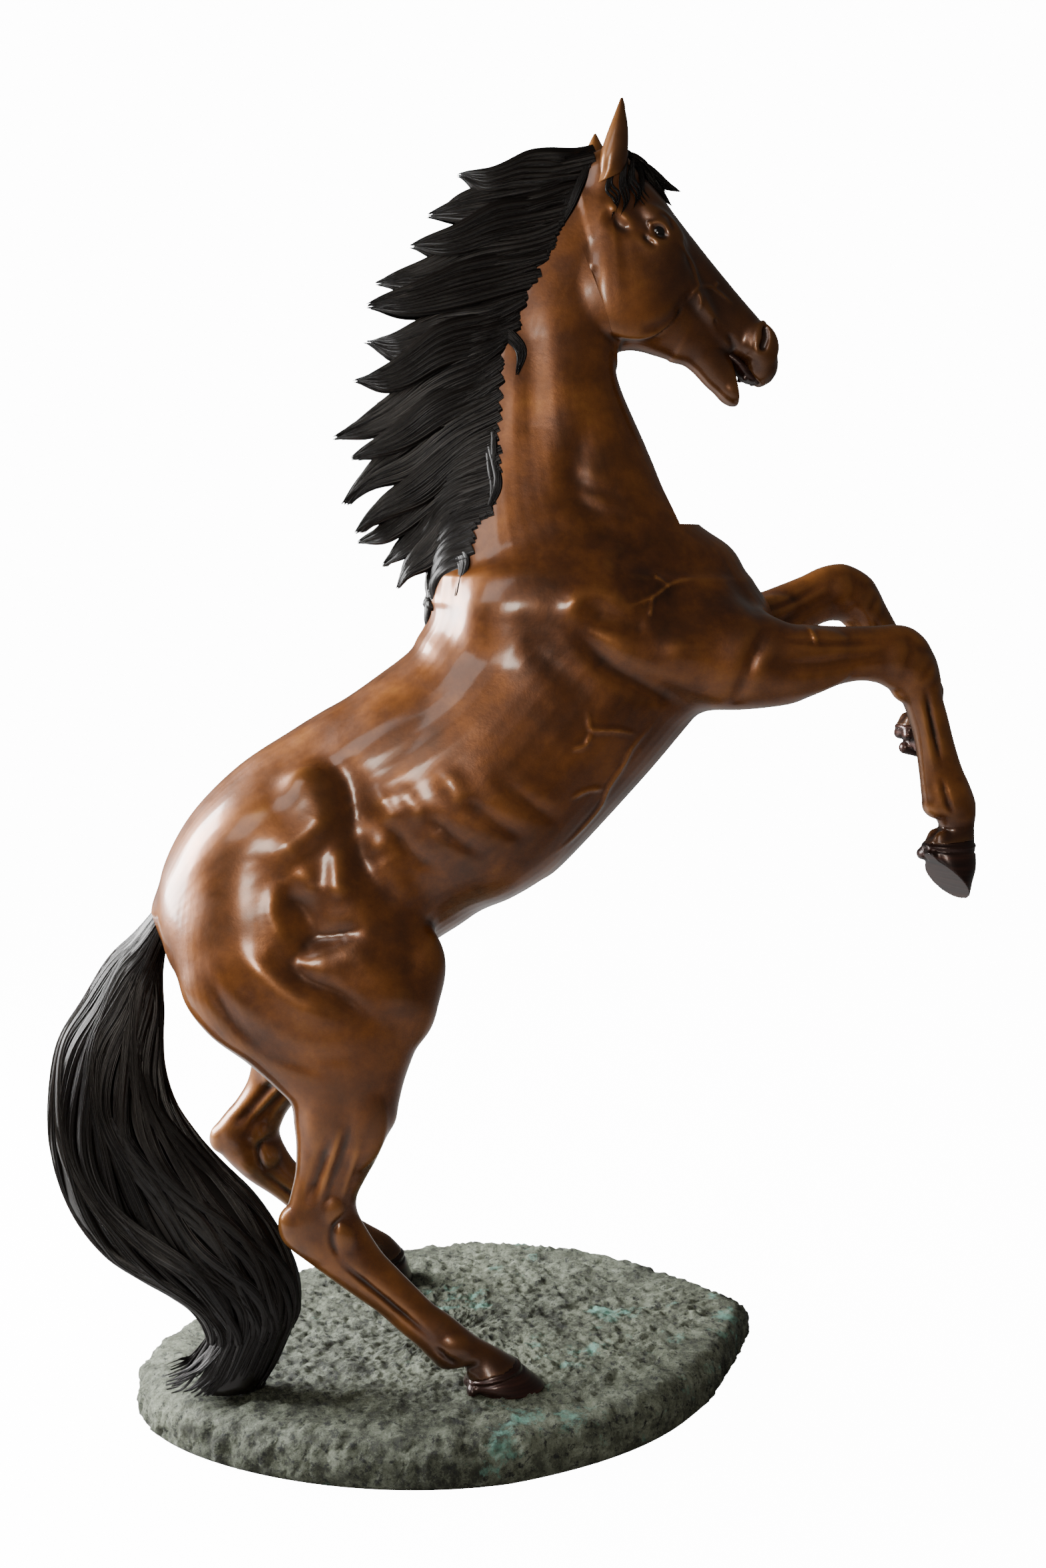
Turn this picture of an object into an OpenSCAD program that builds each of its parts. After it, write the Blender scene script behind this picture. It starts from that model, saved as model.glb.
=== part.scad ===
// Life-size rearing horse: bronze sections cast hollow and welded edge to edge
// over a steel armature, standing on a hollow rock base that a flat steel frame
// holds down. X points the way the horse faces, Y to its left, Z up; the origin
// is on the ground under the middle of the base. Millimetres.

/* [Castings] */
// Wall of the body, neck and head castings
body_wall = 8; // [6:0.5:10]
// Wall of the leg, hoof and tail castings
limb_wall = 6; // [5:0.5:8]
// Sides of a body section
body_sides = 24; // [16:4:24]
// Sides of a shoulder section
shoulder_sides = 16; // [16:4:24]
// Sides of a limb section
limb_sides = 14; // [12:2:16]
// Squareness of a section: 2 is an ellipse
section_power = 2.2; // [2:0.1:2.4]

/* [Rock base] */
// Length of the base
base_length = 1320; // [1300:10:1360]
// Width of the base at its widest
base_width = 950; // [940:10:980]
// Height of the base's top above the ground
base_height = 95; // [92:1:98]
// Turn of the base's long axis from the horse's own
base_turn = 4.5; // [3:0.5:6]
// Wall of the base shell
base_wall = 8; // [6:0.5:10]

/* [Steel frame] */
// Thickness of the flat frame and of the foot plates
plate = 12; // [10:1:15]
// Width of the frame's flats
flat_width = 80; // [70:5:90]
// Anchor spacing along the horse
anchor_x = 700; // [660:10:700]
// Anchor spacing across the horse
anchor_y = 400; // [360:10:400]
// Diameter of the anchor holes, for M16
anchor_hole = 18; // [17:0.5:20]

/* [Armature] */
// Diameter of the bars in the hind legs
leg_bar = 28; // [24:1:30]
// Diameter of the bars in the body, neck and tail
light_bar = 22; // [18:1:24]
// Side of the square tube beams
beam = 60; // [50:5:60]

/* [Hidden] */
skin_brown = "#7a4522";
hoof_brown = "#3a1c16";
hair_black = "#1a1412";
rock_green = "#5a6558";
bare_steel = "#9a9da0";
past = 0.05;

// A section is [x, z] of its upper or front edge, [x, z] of its lower or back
// edge, its half width and the Y of its middle.

// Trunk from the tail end to the loin, then to the neck seam
rump = [[-604, 1012, -590, 962, 50, 0], [-606, 1055, -560, 905, 118, 0],
        [-586, 1138, -470, 870, 172, 0], [-530, 1234, -330, 868, 206, 0],
        [-437, 1326, -150, 905, 222, 0], [-328, 1397, -13, 978, 216, 0]];
barrel = [[-328, 1397, -13, 978, 216, 0], [-272, 1431, 50, 1018, 220, 0],
          [-218, 1461, 110, 1042, 224, 0], [-158, 1502, 170, 1075, 226, 0],
          [-91, 1552, 229, 1118, 224, 0]];
shoulder = [[-91, 1552, 229, 1118, 224, 0], [-72, 1582, 395, 1290, 214, 0],
            [-58, 1605, 520, 1432, 208, 0], [-48, 1632, 640, 1555, 200, 0],
            [-42, 1660, 668, 1620, 190, 0], [-36, 1700, 625, 1696, 174, 0],
            [-28, 1742, 578, 1762, 156, 0], [-18, 1800, 506, 1812, 134, 0]];
neck = [[-18, 1800, 506, 1812, 134, 0], [-5, 1870, 448, 1876, 114, 0],
        [5, 1940, 414, 1938, 100, 0], [15, 2010, 385, 1998, 90, 0],
        [30, 2095, 352, 2068, 82, 0], [62, 2205, 340, 2100, 78, 0],
        [122, 2350, 336, 2115, 76, 0], [200, 2486, 335, 2126, 76, 0]];
head = [[200, 2486, 335, 2126, 76, 0], [262, 2540, 332, 2135, 80, 0],
        [321, 2543, 330, 2143, 88, 0], [377, 2513, 332, 2150, 96, 0],
        [421, 2472, 340, 2157, 100, 0], [456, 2429, 352, 2161, 98, 0],
        [491, 2387, 372, 2163, 88, 0], [524, 2349, 395, 2160, 74, 0],
        [558, 2312, 425, 2152, 62, 0], [592, 2276, 465, 2141, 54, 0],
        [627, 2240, 500, 2120, 50, 0], [658, 2208, 536, 2093, 51, 0],
        [677, 2177, 567, 2075, 48, 0], [674, 2138, 596, 2062, 30, 0]];

// Upper legs, which are cast with the body
right_thigh = [[-120, 1010, -560, 1020, 108, -112], [-58, 905, -568, 905, 118, -146],
               [-80, 835, -522, 822, 113, -160], [-110, 773, -440, 762, 98, -177],
               [-132, 720, -380, 712, 82, -190], [-145, 675, -352, 680, 68, -200]];
left_thigh = [[-120, 1010, -560, 1020, 108, 112], [-66, 905, -568, 905, 118, 146],
              [-100, 835, -525, 824, 113, 160], [-140, 773, -465, 770, 98, 177],
              [-170, 722, -425, 722, 82, 190], [-195, 682, -408, 688, 68, 200]];
right_arm = [[470, 1640, 440, 1440, 100, -110], [560, 1636, 545, 1442, 88, -145],
             [655, 1612, 650, 1451, 70, -165]];
left_arm = [[480, 1640, 460, 1440, 100, 110], [570, 1650, 610, 1462, 86, 148],
            [650, 1660, 690, 1502, 69, 165]];

// Lower legs, each from its weld to the body down to the hoof
right_hind = [[-145, 675, -352, 680, 68, -200], [-152, 638, -346, 636, 60, -205],
              [-165, 608, -343, 600, 55, -208], [-188, 562, -345, 550, 48, -212],
              [-207, 530, -352, 515, 44, -215], [-225, 495, -362, 478, 42, -218],
              [-226, 465, -375, 440, 44, -220], [-212, 432, -370, 408, 44, -222],
              [-180, 378, -318, 362, 38, -226], [-150, 343, -247, 304, 34, -231],
              [-114, 304, -191, 260, 31, -236], [-78, 266, -145, 216, 30, -241],
              [-45, 241, -112, 186, 33, -246], [-15, 215, -85, 158, 40, -251],
              [12, 193, -55, 141, 40, -255], [42, 175, -20, 146, 34, -259],
              [84, 148, -14, 122, 46, -263]];
left_hind = [[-195, 682, -408, 688, 68, 200], [-228, 650, -420, 650, 60, 205],
             [-258, 612, -432, 605, 55, 210], [-310, 572, -456, 564, 49, 215],
             [-340, 540, -480, 535, 44, 220], [-357, 508, -503, 503, 43, 222],
             [-362, 482, -508, 470, 44, 225], [-350, 447, -490, 440, 43, 228],
             [-330, 412, -440, 384, 38, 232], [-306, 386, -380, 336, 34, 237],
             [-268, 336, -328, 286, 31, 246], [-225, 290, -285, 240, 30, 256],
             [-192, 260, -255, 205, 33, 265], [-164, 238, -232, 180, 40, 272],
             [-138, 220, -206, 160, 40, 277], [-114, 202, -172, 156, 34, 281],
             [-88, 172, -188, 128, 46, 284]];
right_fore = [[655, 1612, 650, 1451, 70, -165], [700, 1609, 700, 1462, 64, -168],
              [745, 1606, 742, 1481, 56, -170], [803, 1605, 803, 1494, 48, -170],
              [850, 1606, 846, 1490, 46, -170], [885, 1608, 872, 1478, 47, -170],
              [918, 1600, 888, 1468, 48, -170], [946, 1577, 898, 1458, 48, -170],
              [970, 1540, 904, 1450, 45, -170], [982, 1500, 910, 1440, 41, -170],
              [986, 1466, 918, 1420, 37, -170], [1001, 1419, 930, 1386, 33, -170],
              [1017, 1365, 940, 1340, 31, -170], [1035, 1315, 948, 1290, 32, -170],
              [1052, 1280, 953, 1255, 37, -170], [1066, 1245, 960, 1225, 41, -170],
              [1068, 1218, 985, 1207, 38, -170], [1066, 1192, 992, 1182, 33, -170],
              [1066, 1165, 962, 1156, 44, -170]];
left_fore = [[650, 1660, 690, 1502, 69, 165], [698, 1668, 730, 1528, 64, 168],
             [745, 1684, 780, 1562, 56, 170], [800, 1705, 825, 1590, 48, 170],
             [850, 1727, 862, 1606, 46, 170], [900, 1733, 890, 1607, 47, 170],
             [943, 1712, 913, 1600, 48, 170], [972, 1686, 924, 1590, 47, 170],
             [996, 1644, 938, 1572, 43, 170], [1020, 1604, 958, 1552, 38, 170],
             [1045, 1560, 985, 1520, 33, 170], [1078, 1518, 1008, 1482, 31, 170],
             [1115, 1490, 1020, 1460, 35, 170], [1138, 1461, 1032, 1441, 41, 170],
             [1140, 1434, 1057, 1423, 38, 170], [1138, 1408, 1064, 1398, 33, 170],
             [1138, 1381, 1034, 1372, 44, 170]];

// Hooves, from the coronet to the sole
right_hind_hoof = [[84, 148, -14, 122, 46, -263], [112, 122, -12, 104, 53, -265],
                   [140, base_height, 0, base_height, 57, -266]];
left_hind_hoof = [[-88, 172, -188, 128, 46, 284], [-76, 142, -194, 108, 53, 285],
                  [-62, base_height, -192, base_height, 57, 286]];
right_fore_hoof = [[1066, 1165, 962, 1156, 44, -170], [1074, 1110, 952, 1138, 53, -170],
                   [1068, 1062, 948, 1130, 57, -170], [1052, 1034, 950, 1122, 57, -170]];
left_fore_hoof = [[1138, 1381, 1034, 1372, 44, 170], [1146, 1326, 1024, 1354, 53, 170],
                  [1140, 1278, 1020, 1346, 57, 170], [1124, 1250, 1022, 1338, 57, 170]];

// Tail, from the dock to the tip that rests on the rock
tail = [[-608, 1040, -606, 985, 36, 0], [-657, 988, -607, 920, 52, -8],
        [-706, 944, -610, 880, 60, -18], [-755, 867, -608, 835, 66, -28],
        [-802, 791, -606, 780, 70, -40], [-822, 700, -600, 722, 72, -55],
        [-828, 606, -582, 656, 74, -71], [-812, 515, -545, 596, 76, -88],
        [-780, 435, -490, 530, 77, -105], [-728, 368, -438, 476, 77, -125],
        [-665, 328, -396, 418, 76, -145], [-605, 295, -364, 360, 74, -160],
        [-560, 262, -347, 305, 71, -171], [-535, 225, -348, 250, 69, -181],
        [-530, 180, -372, 200, 67, -189], [-560, base_height, -420, base_height, 64, -195]];

// Ears, from the root to the tip
right_ear_rings = [[342, 2512, 284, 2486, 22, -60], [345, 2548, 287, 2526, 26, -64],
                   [343, 2585, 299, 2565, 21, -68], [337, 2614, 312, 2600, 12, -71],
                   [330, 2638, 325, 2636, 3, -73]];
left_ear_rings = [[334, 2510, 276, 2490, 22, 56], [333, 2540, 278, 2522, 26, 58],
                  [325, 2566, 282, 2554, 20, 60], [314, 2588, 293, 2582, 11, 61],
                  [306, 2602, 302, 2601, 3, 62]];

// A lock of hair is its root, middle and tip as [x, y, z], its half width in
// the side view and its half thickness
upper_locks = [[[235, 0, 2500], [125, -6, 2512], [12, -12, 2496], 46, 34],
               [[196, 8, 2432], [74, 6, 2446], [-46, 4, 2416], 46, 32],
               [[150, -8, 2360], [30, -10, 2368], [-82, -14, 2352], 44, 32]];
middle_locks = [[[120, 8, 2290], [-25, 8, 2296], [-153, 10, 2281], 42, 30],
                [[100, -10, 2225], [-50, -14, 2250], [-170, -20, 2234], 40, 30],
                [[70, 8, 2175], [-60, 10, 2180], [-174, 14, 2166], 40, 30],
                [[62, -10, 2120], [-80, -12, 2122], [-199, -18, 2090], 42, 30],
                [[50, 4, 2060], [-95, 6, 2045], [-240, 8, 1980], 42, 30],
                [[45, -10, 2000], [-85, -12, 1985], [-205, -16, 1939], 38, 28]];
lower_locks = [[[40, 7, 1938], [-95, 8, 1911], [-223, 10, 1851], 41, 28],
               [[25, -10, 1880], [-85, -12, 1856], [-199, -16, 1792], 40, 28],
               [[15, 6, 1815], [-65, 8, 1790], [-142, 10, 1728], 36, 26],
               [[5, -8, 1757], [-55, -10, 1735], [-115, -12, 1685], 34, 24],
               [[-8, 4, 1712], [-46, 6, 1678], [-49, 8, 1612], 30, 21]];
forelock_locks = [[[300, 0, 2536], [362, -6, 2546], [413, -12, 2493], 24, 34],
                  [[322, 12, 2544], [395, 12, 2530], [460, 8, 2481], 16, 19],
                  [[350, -22, 2536], [386, -60, 2500], [400, -90, 2436], 15, 14],
                  [[350, 22, 2536], [386, 60, 2500], [400, 90, 2436], 15, 14]];

// Armature: each bar rises from its foot plate; the last length is upright
right_leg_path = [[62, -264, 24], [62, -264, 104], [10, -258, 160], [-50, -251, 188],
                  [-165, -235, 290], [-262, -226, 384], [-298, -220, 450],
                  [-258, -208, 600], [-275, -175, 770], [-300, -110, 960], [-300, -110, 1050]];
left_leg_path = [[-128, 285, 24], [-132, 285, 104], [-148, 280, 172], [-198, 272, 208],
                 [-298, 246, 311], [-385, 233, 402], [-428, 226, 462],
                 [-400, 218, 545], [-320, 205, 655], [-300, 175, 770], [-300, 110, 960],
                 [-300, 110, 1050]];
tail_path = [[-460, -205, 24], [-460, -205, 150], [-440, -192, 230], [-462, -174, 300],
             [-530, -148, 380], [-620, -112, 470], [-690, -82, 580], [-712, -58, 700]];
spine_path = [[-270, 0, 1080], [-200, 0, 1080], [120, 0, 1380], [200, 0, 1400]];
neck_path = [[230, 0, 1430], [230, 0, 1560], [205, 0, 1900], [200, 0, 2080], [250, 0, 2300]];
hip_at = [-300, 0, 1080];
shoulder_at = [230, 0, 1400];
foot_plates = [[62, -264], [-128, 285], [-460, -200]];
plate_side = 110;
tail_plate_side = 80;
plate_bolt = 12;
bolt_clearance = 13;
rail_y = 275;
rail_end = 380;

function unit(v) = v / norm(v);
function sharp(v) = sign(v) * pow(abs(v), 2 / section_power);

// Points of one section, drawn in by the wall
function ring(s, n, inset) =
    let (a = [s[0], s[1]], b = [s[2], s[3]], mid = (a + b) / 2,
         half = max(norm(a - b) / 2 - inset, 1), up = unit(a - b), wide = max(s[4] - inset, 1))
    [for (i = [0:n - 1]) let (t = 360 * i / n, c = sharp(cos(t)), q = sharp(sin(t)))
        [mid[0] + up[0] * half * c, s[5] + wide * q, mid[1] + up[1] * half * c]];

// The chain of sections carried a little past its first and last
function extended(r, first, last) = let (m = len(r) - 1)
    concat(first ? [r[0] + (r[0] - r[1]) * past] : [], r,
           last ? [r[m] + (r[m] - r[m - 1]) * past] : []);
function stretch(r, i, j) = [for (k = [i:j]) r[k]];

// A section moved by the wall towards its neighbour, to close the core there
function drawn_in(s, next, wall) =
    let (gap = norm([s[0] + s[2] - next[0] - next[2], s[1] + s[3] - next[1] - next[3]]) / 2)
    s + (next - s) * min(wall / gap, 0.6);

// A solid skin over a chain of sections: sides, then the two ends
function sides_of(n, m, base, turn) = [for (i = [0:m - 2], k = [0:n - 1])
    let (a = base + i * n + k, b = base + i * n + (k + 1) % n)
    each (turn ? [[a, a + n, b], [b, a + n, b + n]] : [[a, b, a + n], [b, b + n, a + n]])];
module skin(r, n, inset = 0) {
    m = len(r);
    polyhedron(points = [for (s = r) each ring(s, n, inset)],
               faces = concat(sides_of(n, m, 0, false),
                              [[for (k = [n - 1:-1:0]) k], [for (k = [0:n - 1]) (m - 1) * n + k]]));
}

// A casting: outer skin and core skin in one wall. An end that is welded to its
// neighbour is open, and the other is closed by the wall.
module casting(r, n, wall, first = true, last = true) {
    m = len(r);
    q = m * n;
    open_first = [for (k = [0:n - 1]) let (j = (k + 1) % n)
        each [[k, q + k, j], [j, q + k, q + j]]];
    top = (m - 1) * n;
    open_last = [for (k = [0:n - 1]) let (j = (k + 1) % n)
        each [[top + k, top + j, q + top + k], [top + j, q + top + j, q + top + k]]];
    closed_first = [[for (k = [n - 1:-1:0]) k], [for (k = [0:n - 1]) q + k]];
    closed_last = [[for (k = [0:n - 1]) top + k], [for (k = [n - 1:-1:0]) q + top + k]];
    core = concat(first ? [r[0]] : [drawn_in(r[0], r[1], wall)], stretch(r, 1, m - 2),
                  last ? [r[m - 1]] : [drawn_in(r[m - 1], r[m - 2], wall)]);
    polyhedron(points = concat([for (s = r) each ring(s, n, 0)], [for (s = core) each ring(s, n, wall)]),
               faces = concat(sides_of(n, m, 0, false), sides_of(n, m, q, true),
                              first ? open_first : closed_first, last ? open_last : closed_last));
}

// A lock of hair as a chain of sections that ends in a point
function lock_rings(k) =
    let (root = k[0], mid = k[1], tip = k[2], w = k[3], t = k[4],
         along = unit([tip[0] - root[0], tip[2] - root[2]]), side = [-along[1], along[0]],
         at = [root, (root + mid) / 2, mid, (mid + tip) / 2, tip],
         share = [1, 0.95, 0.75, 0.42, 0.06])
    [for (i = [0:4]) let (h = side * w * share[i])
        [at[i][0] + h[0], at[i][2] + h[1], at[i][0] - h[0], at[i][2] - h[1],
         t * share[i], at[i][1]]];
module locks(list) {
    for (k = list) skin(lock_rings(k), 8);
}

// A round bar through the points of a path, with a weld ball at each bend
module rod(path, d) {
    for (i = [0:len(path) - 2]) {
        v = path[i + 1] - path[i];
        translate(path[i])
            rotate([0, acos(v[2] / norm(v)), atan2(v[1], v[0])])
                cylinder(h = norm(v), d = d, $fn = 32);
        if (i > 0) translate(path[i]) sphere(d = d * 1.12, $fn = 32);
    }
}

// Outline of the rock: round behind, drawn to a blunt point in front
function rock_outline(grow) = [for (t = [0:8:352])
    let (c = cos(t), taper = c > 0 ? 1 - 0.8 * pow(c, 5) : 1 - 0.3 * c * c)
    [(base_length / 2 + grow) * c, (base_width / 2 + grow) * sin(t) * taper]];
module rock_slab(z, grow) {
    translate([0, 0, z]) rotate([0, 0, base_turn])
        linear_extrude(height = 0.2) polygon(rock_outline(grow));
}
module rock_layers(levels, inset) {
    for (i = [0:len(levels) - 2])
        hull() {
            rock_slab(levels[i][0], levels[i][1] - inset);
            rock_slab(levels[i + 1][0], levels[i + 1][1] - inset);
        }
}
rock_side = [[0, -8], [14, 0], [34, 0], [58, -8], [78, -26], [base_height - 6, -52],
             [base_height - 0.2, -86]];
rock_core = [[-1, -8], [14, 0], [34, 0], [58, -8], [72, -26], [base_height - 14, -52],
             [base_height - base_wall, -86]];

module base_shell() {
    color(rock_green) difference() {
        rock_layers(rock_side, 0);
        rock_layers(rock_core, base_wall);
        for (p = foot_plates) translate([p[0], p[1], 0])
            cylinder(h = base_height + 10, d = leg_bar + 8, $fn = 32);
    }
}

// Flat frame: two rails, two cross flats and the lug under the tail
module base_frame() {
    color(bare_steel) difference() {
        union() {
            for (s = [-1, 1]) {
                translate([-rail_end, s * rail_y - flat_width / 2, 0])
                    cube([2 * rail_end, flat_width, plate]);
                translate([s * anchor_x / 2 - flat_width / 2, -rail_y, 0])
                    cube([flat_width, 2 * rail_y, plate]);
            }
            translate([-505, -200 - flat_width / 2, 0]) cube([150, flat_width, plate]);
        }
        for (x = [-1, 1], y = [-1, 1])
            translate([x * anchor_x / 2, y * anchor_y / 2, -1])
                cylinder(h = plate + 2, d = anchor_hole, $fn = 48);
        at_plate_bolts(-1) cylinder(h = plate + 2, d = bolt_clearance, $fn = 32);
    }
}

// Places of the bolts through the foot plates and the frame
module at_plate_bolts(z) {
    for (k = [0:2], x = [-1, 1], y = [-1, 1]) {
        reach = (k == 2 ? tail_plate_side : plate_side) / 2 - 15;
        across = min(reach, 26);
        translate([foot_plates[k][0] + x * reach, foot_plates[k][1] + y * across, z]) children();
    }
}

module anchor_nuts() {
    color(bare_steel) for (x = [-1, 1], y = [-1, 1])
        translate([x * anchor_x / 2, y * anchor_y / 2, plate])
            difference() {
                cylinder(h = 13, d = 24 / cos(30), $fn = 6);
                translate([0, 0, -1]) cylinder(h = 15, d = 14, $fn = 48);
            }
}

module foot_plate_bolts() {
    color(bare_steel) at_plate_bolts(2 * plate) {
        cylinder(h = 7.5, d = 18 / cos(30), $fn = 6);
        translate([0, 0, -2 * plate]) cylinder(h = 2 * plate, d = plate_bolt - 1.5, $fn = 32);
    }
}

// Threaded collars pressed into the frame, one round each bolt
module foot_plate_nuts() {
    color(bare_steel) at_plate_bolts(0) difference() {
        cylinder(h = plate, d = bolt_clearance - 0.2, $fn = 32);
        translate([0, 0, -1]) cylinder(h = plate + 2, d = plate_bolt - 1.5, $fn = 32);
    }
}

// Foot plate with its bolt holes
module foot_plate(k, side) {
    difference() {
        translate([foot_plates[k][0] - side / 2, foot_plates[k][1] - min(side, flat_width) / 2, plate])
            cube([side, min(side, flat_width), plate]);
        at_plate_bolts(plate - 1) cylinder(h = plate + 2, d = plate_bolt - 1.5, $fn = 32);
    }
}

module right_leg_bar() {
    color(bare_steel) {
        foot_plate(0, plate_side);
        rod(right_leg_path, leg_bar);
    }
}
module left_leg_bar() {
    color(bare_steel) {
        foot_plate(1, plate_side);
        rod(left_leg_path, leg_bar);
    }
}
module tail_bar() {
    color(bare_steel) {
        foot_plate(2, tail_plate_side);
        rod(tail_path, light_bar);
    }
}

// Square tube across the body
module cross_beam(at, length) {
    color(bare_steel) translate(at) difference() {
        cube([beam, length, beam], center = true);
        cube([beam - 8, length + 2, beam - 8], center = true);
    }
}
module hip_beam() { cross_beam(hip_at, 300); }
module shoulder_beam() { cross_beam(shoulder_at, 280); }
module spine_bar() { color(bare_steel) rod(spine_path, light_bar); }
module neck_bar() { color(bare_steel) rod(neck_path, light_bar); }

module hindquarters_casting() {
    color(skin_brown) difference() {
        union() {
            skin(rump, body_sides);
            skin(right_thigh, body_sides);
            skin(left_thigh, body_sides);
        }
        skin(extended(rump, false, true), body_sides, body_wall);
        skin(extended(right_thigh, false, true), body_sides, limb_wall);
        skin(extended(left_thigh, false, true), body_sides, limb_wall);
    }
}
module barrel_casting() { color(skin_brown) casting(barrel, body_sides, body_wall); }
module shoulder_casting() {
    color(skin_brown) difference() {
        union() {
            skin(shoulder, shoulder_sides);
            skin(right_arm, limb_sides);
            skin(left_arm, limb_sides);
        }
        skin(extended(shoulder, true, true), shoulder_sides, body_wall);
        skin(extended(right_arm, false, true), limb_sides, limb_wall);
        skin(extended(left_arm, false, true), limb_sides, limb_wall);
    }
}
module neck_casting() { color(skin_brown) casting(neck, body_sides, body_wall); }

// The mouth: the jaw's own room, and the wedge of air above the lower jaw
module jaw_room() {
    translate([578, -80, 2156]) rotate([0, 47, 0]) translate([0, 0, -150]) cube([220, 160, 150]);
}
module mouth_gap() {
    translate([578, -80, 2156]) rotate([0, 52, 0]) cube([220, 160, 60]);
}
module head_casting() {
    color(skin_brown) difference() {
        casting(head, body_sides, body_wall, true, false);
        jaw_room();
    }
}
module lower_jaw_casting() {
    color(skin_brown) difference() {
        intersection() {
            casting(head, body_sides, body_wall, true, false);
            jaw_room();
        }
        mouth_gap();
    }
}
module right_ear() {
    color(skin_brown) difference() {
        skin(right_ear_rings, 10);
        skin(head, body_sides);
    }
}
module left_ear() {
    color(skin_brown) difference() {
        skin(left_ear_rings, 10);
        skin(head, body_sides);
    }
}
module forelock() {
    color(hair_black) difference() {
        locks(forelock_locks);
        skin(head, body_sides);
    }
}
module mane_upper() {
    color(hair_black) difference() {
        locks(upper_locks);
        skin(neck, body_sides);
        skin(head, body_sides);
    }
}
module mane_middle() {
    color(hair_black) difference() {
        locks(middle_locks);
        skin(neck, body_sides);
        locks(upper_locks);
    }
}
module mane_lower() {
    color(hair_black) difference() {
        locks(lower_locks);
        skin(neck, body_sides);
        skin(shoulder, body_sides);
        locks(middle_locks);
    }
}
module tail_upper() {
    color(hair_black) difference() {
        casting(stretch(tail, 0, 6), limb_sides, limb_wall, false, true);
        skin(rump, body_sides);
    }
}
module tail_lower() {
    color(hair_black) casting(stretch(tail, 6, 15), limb_sides, limb_wall);
}

module limb(r) { color(skin_brown) casting(r, limb_sides, limb_wall); }
module hoof(r, solid_sole) {
    color(hoof_brown) casting(r, limb_sides, limb_wall, true, !solid_sole);
}
module right_forearm() { limb(stretch(right_fore, 0, 8)); }
module right_fore_cannon() { limb(stretch(right_fore, 8, 18)); }
module right_fore_hoof() { hoof(right_fore_hoof, true); }
module left_forearm() { limb(stretch(left_fore, 0, 8)); }
module left_fore_cannon() { limb(stretch(left_fore, 8, 16)); }
module left_fore_hoof() { hoof(left_fore_hoof, true); }
module right_gaskin() { limb(stretch(right_hind, 0, 6)); }
module right_hind_cannon() { limb(stretch(right_hind, 6, 16)); }
module right_hind_hoof() { hoof(right_hind_hoof, false); }
module left_gaskin() { limb(stretch(left_hind, 0, 6)); }
module left_hind_cannon() { limb(stretch(left_hind, 6, 16)); }
module left_hind_hoof() { hoof(left_hind_hoof, false); }

base_shell();
base_frame();
anchor_nuts();
foot_plate_bolts();
foot_plate_nuts();
right_leg_bar();
left_leg_bar();
tail_bar();
hip_beam();
spine_bar();
shoulder_beam();
neck_bar();
hindquarters_casting();
barrel_casting();
shoulder_casting();
neck_casting();
head_casting();
lower_jaw_casting();
right_ear();
left_ear();
forelock();
mane_upper();
mane_middle();
mane_lower();
tail_upper();
tail_lower();
right_forearm();
right_fore_cannon();
right_fore_hoof();
left_forearm();
left_fore_cannon();
left_fore_hoof();
right_gaskin();
right_hind_cannon();
right_hind_hoof();
left_gaskin();
left_hind_cannon();
left_hind_hoof();
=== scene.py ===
import math
import bmesh
import bpy
import numpy as np
import openvdb as vdb
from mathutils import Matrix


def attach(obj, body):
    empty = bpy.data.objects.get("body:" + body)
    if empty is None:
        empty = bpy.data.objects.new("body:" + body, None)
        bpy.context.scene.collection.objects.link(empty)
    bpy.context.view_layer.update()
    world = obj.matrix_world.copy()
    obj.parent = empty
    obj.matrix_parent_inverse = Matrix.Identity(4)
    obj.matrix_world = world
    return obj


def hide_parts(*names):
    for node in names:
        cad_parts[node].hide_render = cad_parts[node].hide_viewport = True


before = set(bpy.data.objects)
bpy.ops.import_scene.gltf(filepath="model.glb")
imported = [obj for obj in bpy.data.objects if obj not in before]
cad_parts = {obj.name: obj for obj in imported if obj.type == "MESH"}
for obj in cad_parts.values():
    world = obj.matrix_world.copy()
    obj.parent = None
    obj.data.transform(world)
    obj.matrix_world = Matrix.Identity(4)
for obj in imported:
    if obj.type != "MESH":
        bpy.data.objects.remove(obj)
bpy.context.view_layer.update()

# ---------------------------------------------------------------- camera, light and floor
# The statue is seen from eye height, three and a half metres off its right side and a
# little behind, in a white studio: a pale floor and large soft lights.


def linear(code):
    """An sRGB hex colour as a linear RGBA."""
    channels = [int(code[i:i + 2], 16) / 255 for i in (1, 3, 5)]
    return tuple(c / 12.92 if c < 0.04045 else ((c + 0.055) / 1.055) ** 2.4 for c in channels) + (1,)


def add_node(tree, kind, inputs=None, stops=(), **settings):
    """Adds a node. Inputs are links or values by socket, settings are properties or
    sockets by name, and stops are the (place, hex colour) pairs of a colour ramp."""
    made = tree.nodes.new(kind)
    for key, value in settings.items():
        if hasattr(made, key):
            setattr(made, key, value)
        else:
            made.inputs[key.replace("_", " ")].default_value = value
    for socket, source in (inputs or {}).items():
        if isinstance(source, bpy.types.NodeSocket):
            tree.links.new(source, made.inputs[socket])
        else:
            made.inputs[socket].default_value = source
    for i, (place, colour) in enumerate(stops):
        band = made.color_ramp.elements
        stop = band[i] if i < 2 else band.new(1.0)
        stop.position = place
        stop.color = linear(colour)
    return made


def make_material(name):
    """A new material with an empty tree, its Principled shader and its output."""
    material = bpy.data.materials.new(name)
    material.use_nodes = True
    tree = material.node_tree
    tree.nodes.clear()
    shader = add_node(tree, "ShaderNodeBsdfPrincipled")
    output = add_node(tree, "ShaderNodeOutputMaterial")
    tree.links.new(shader.outputs[0], output.inputs[0])
    return material, tree, shader


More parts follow.
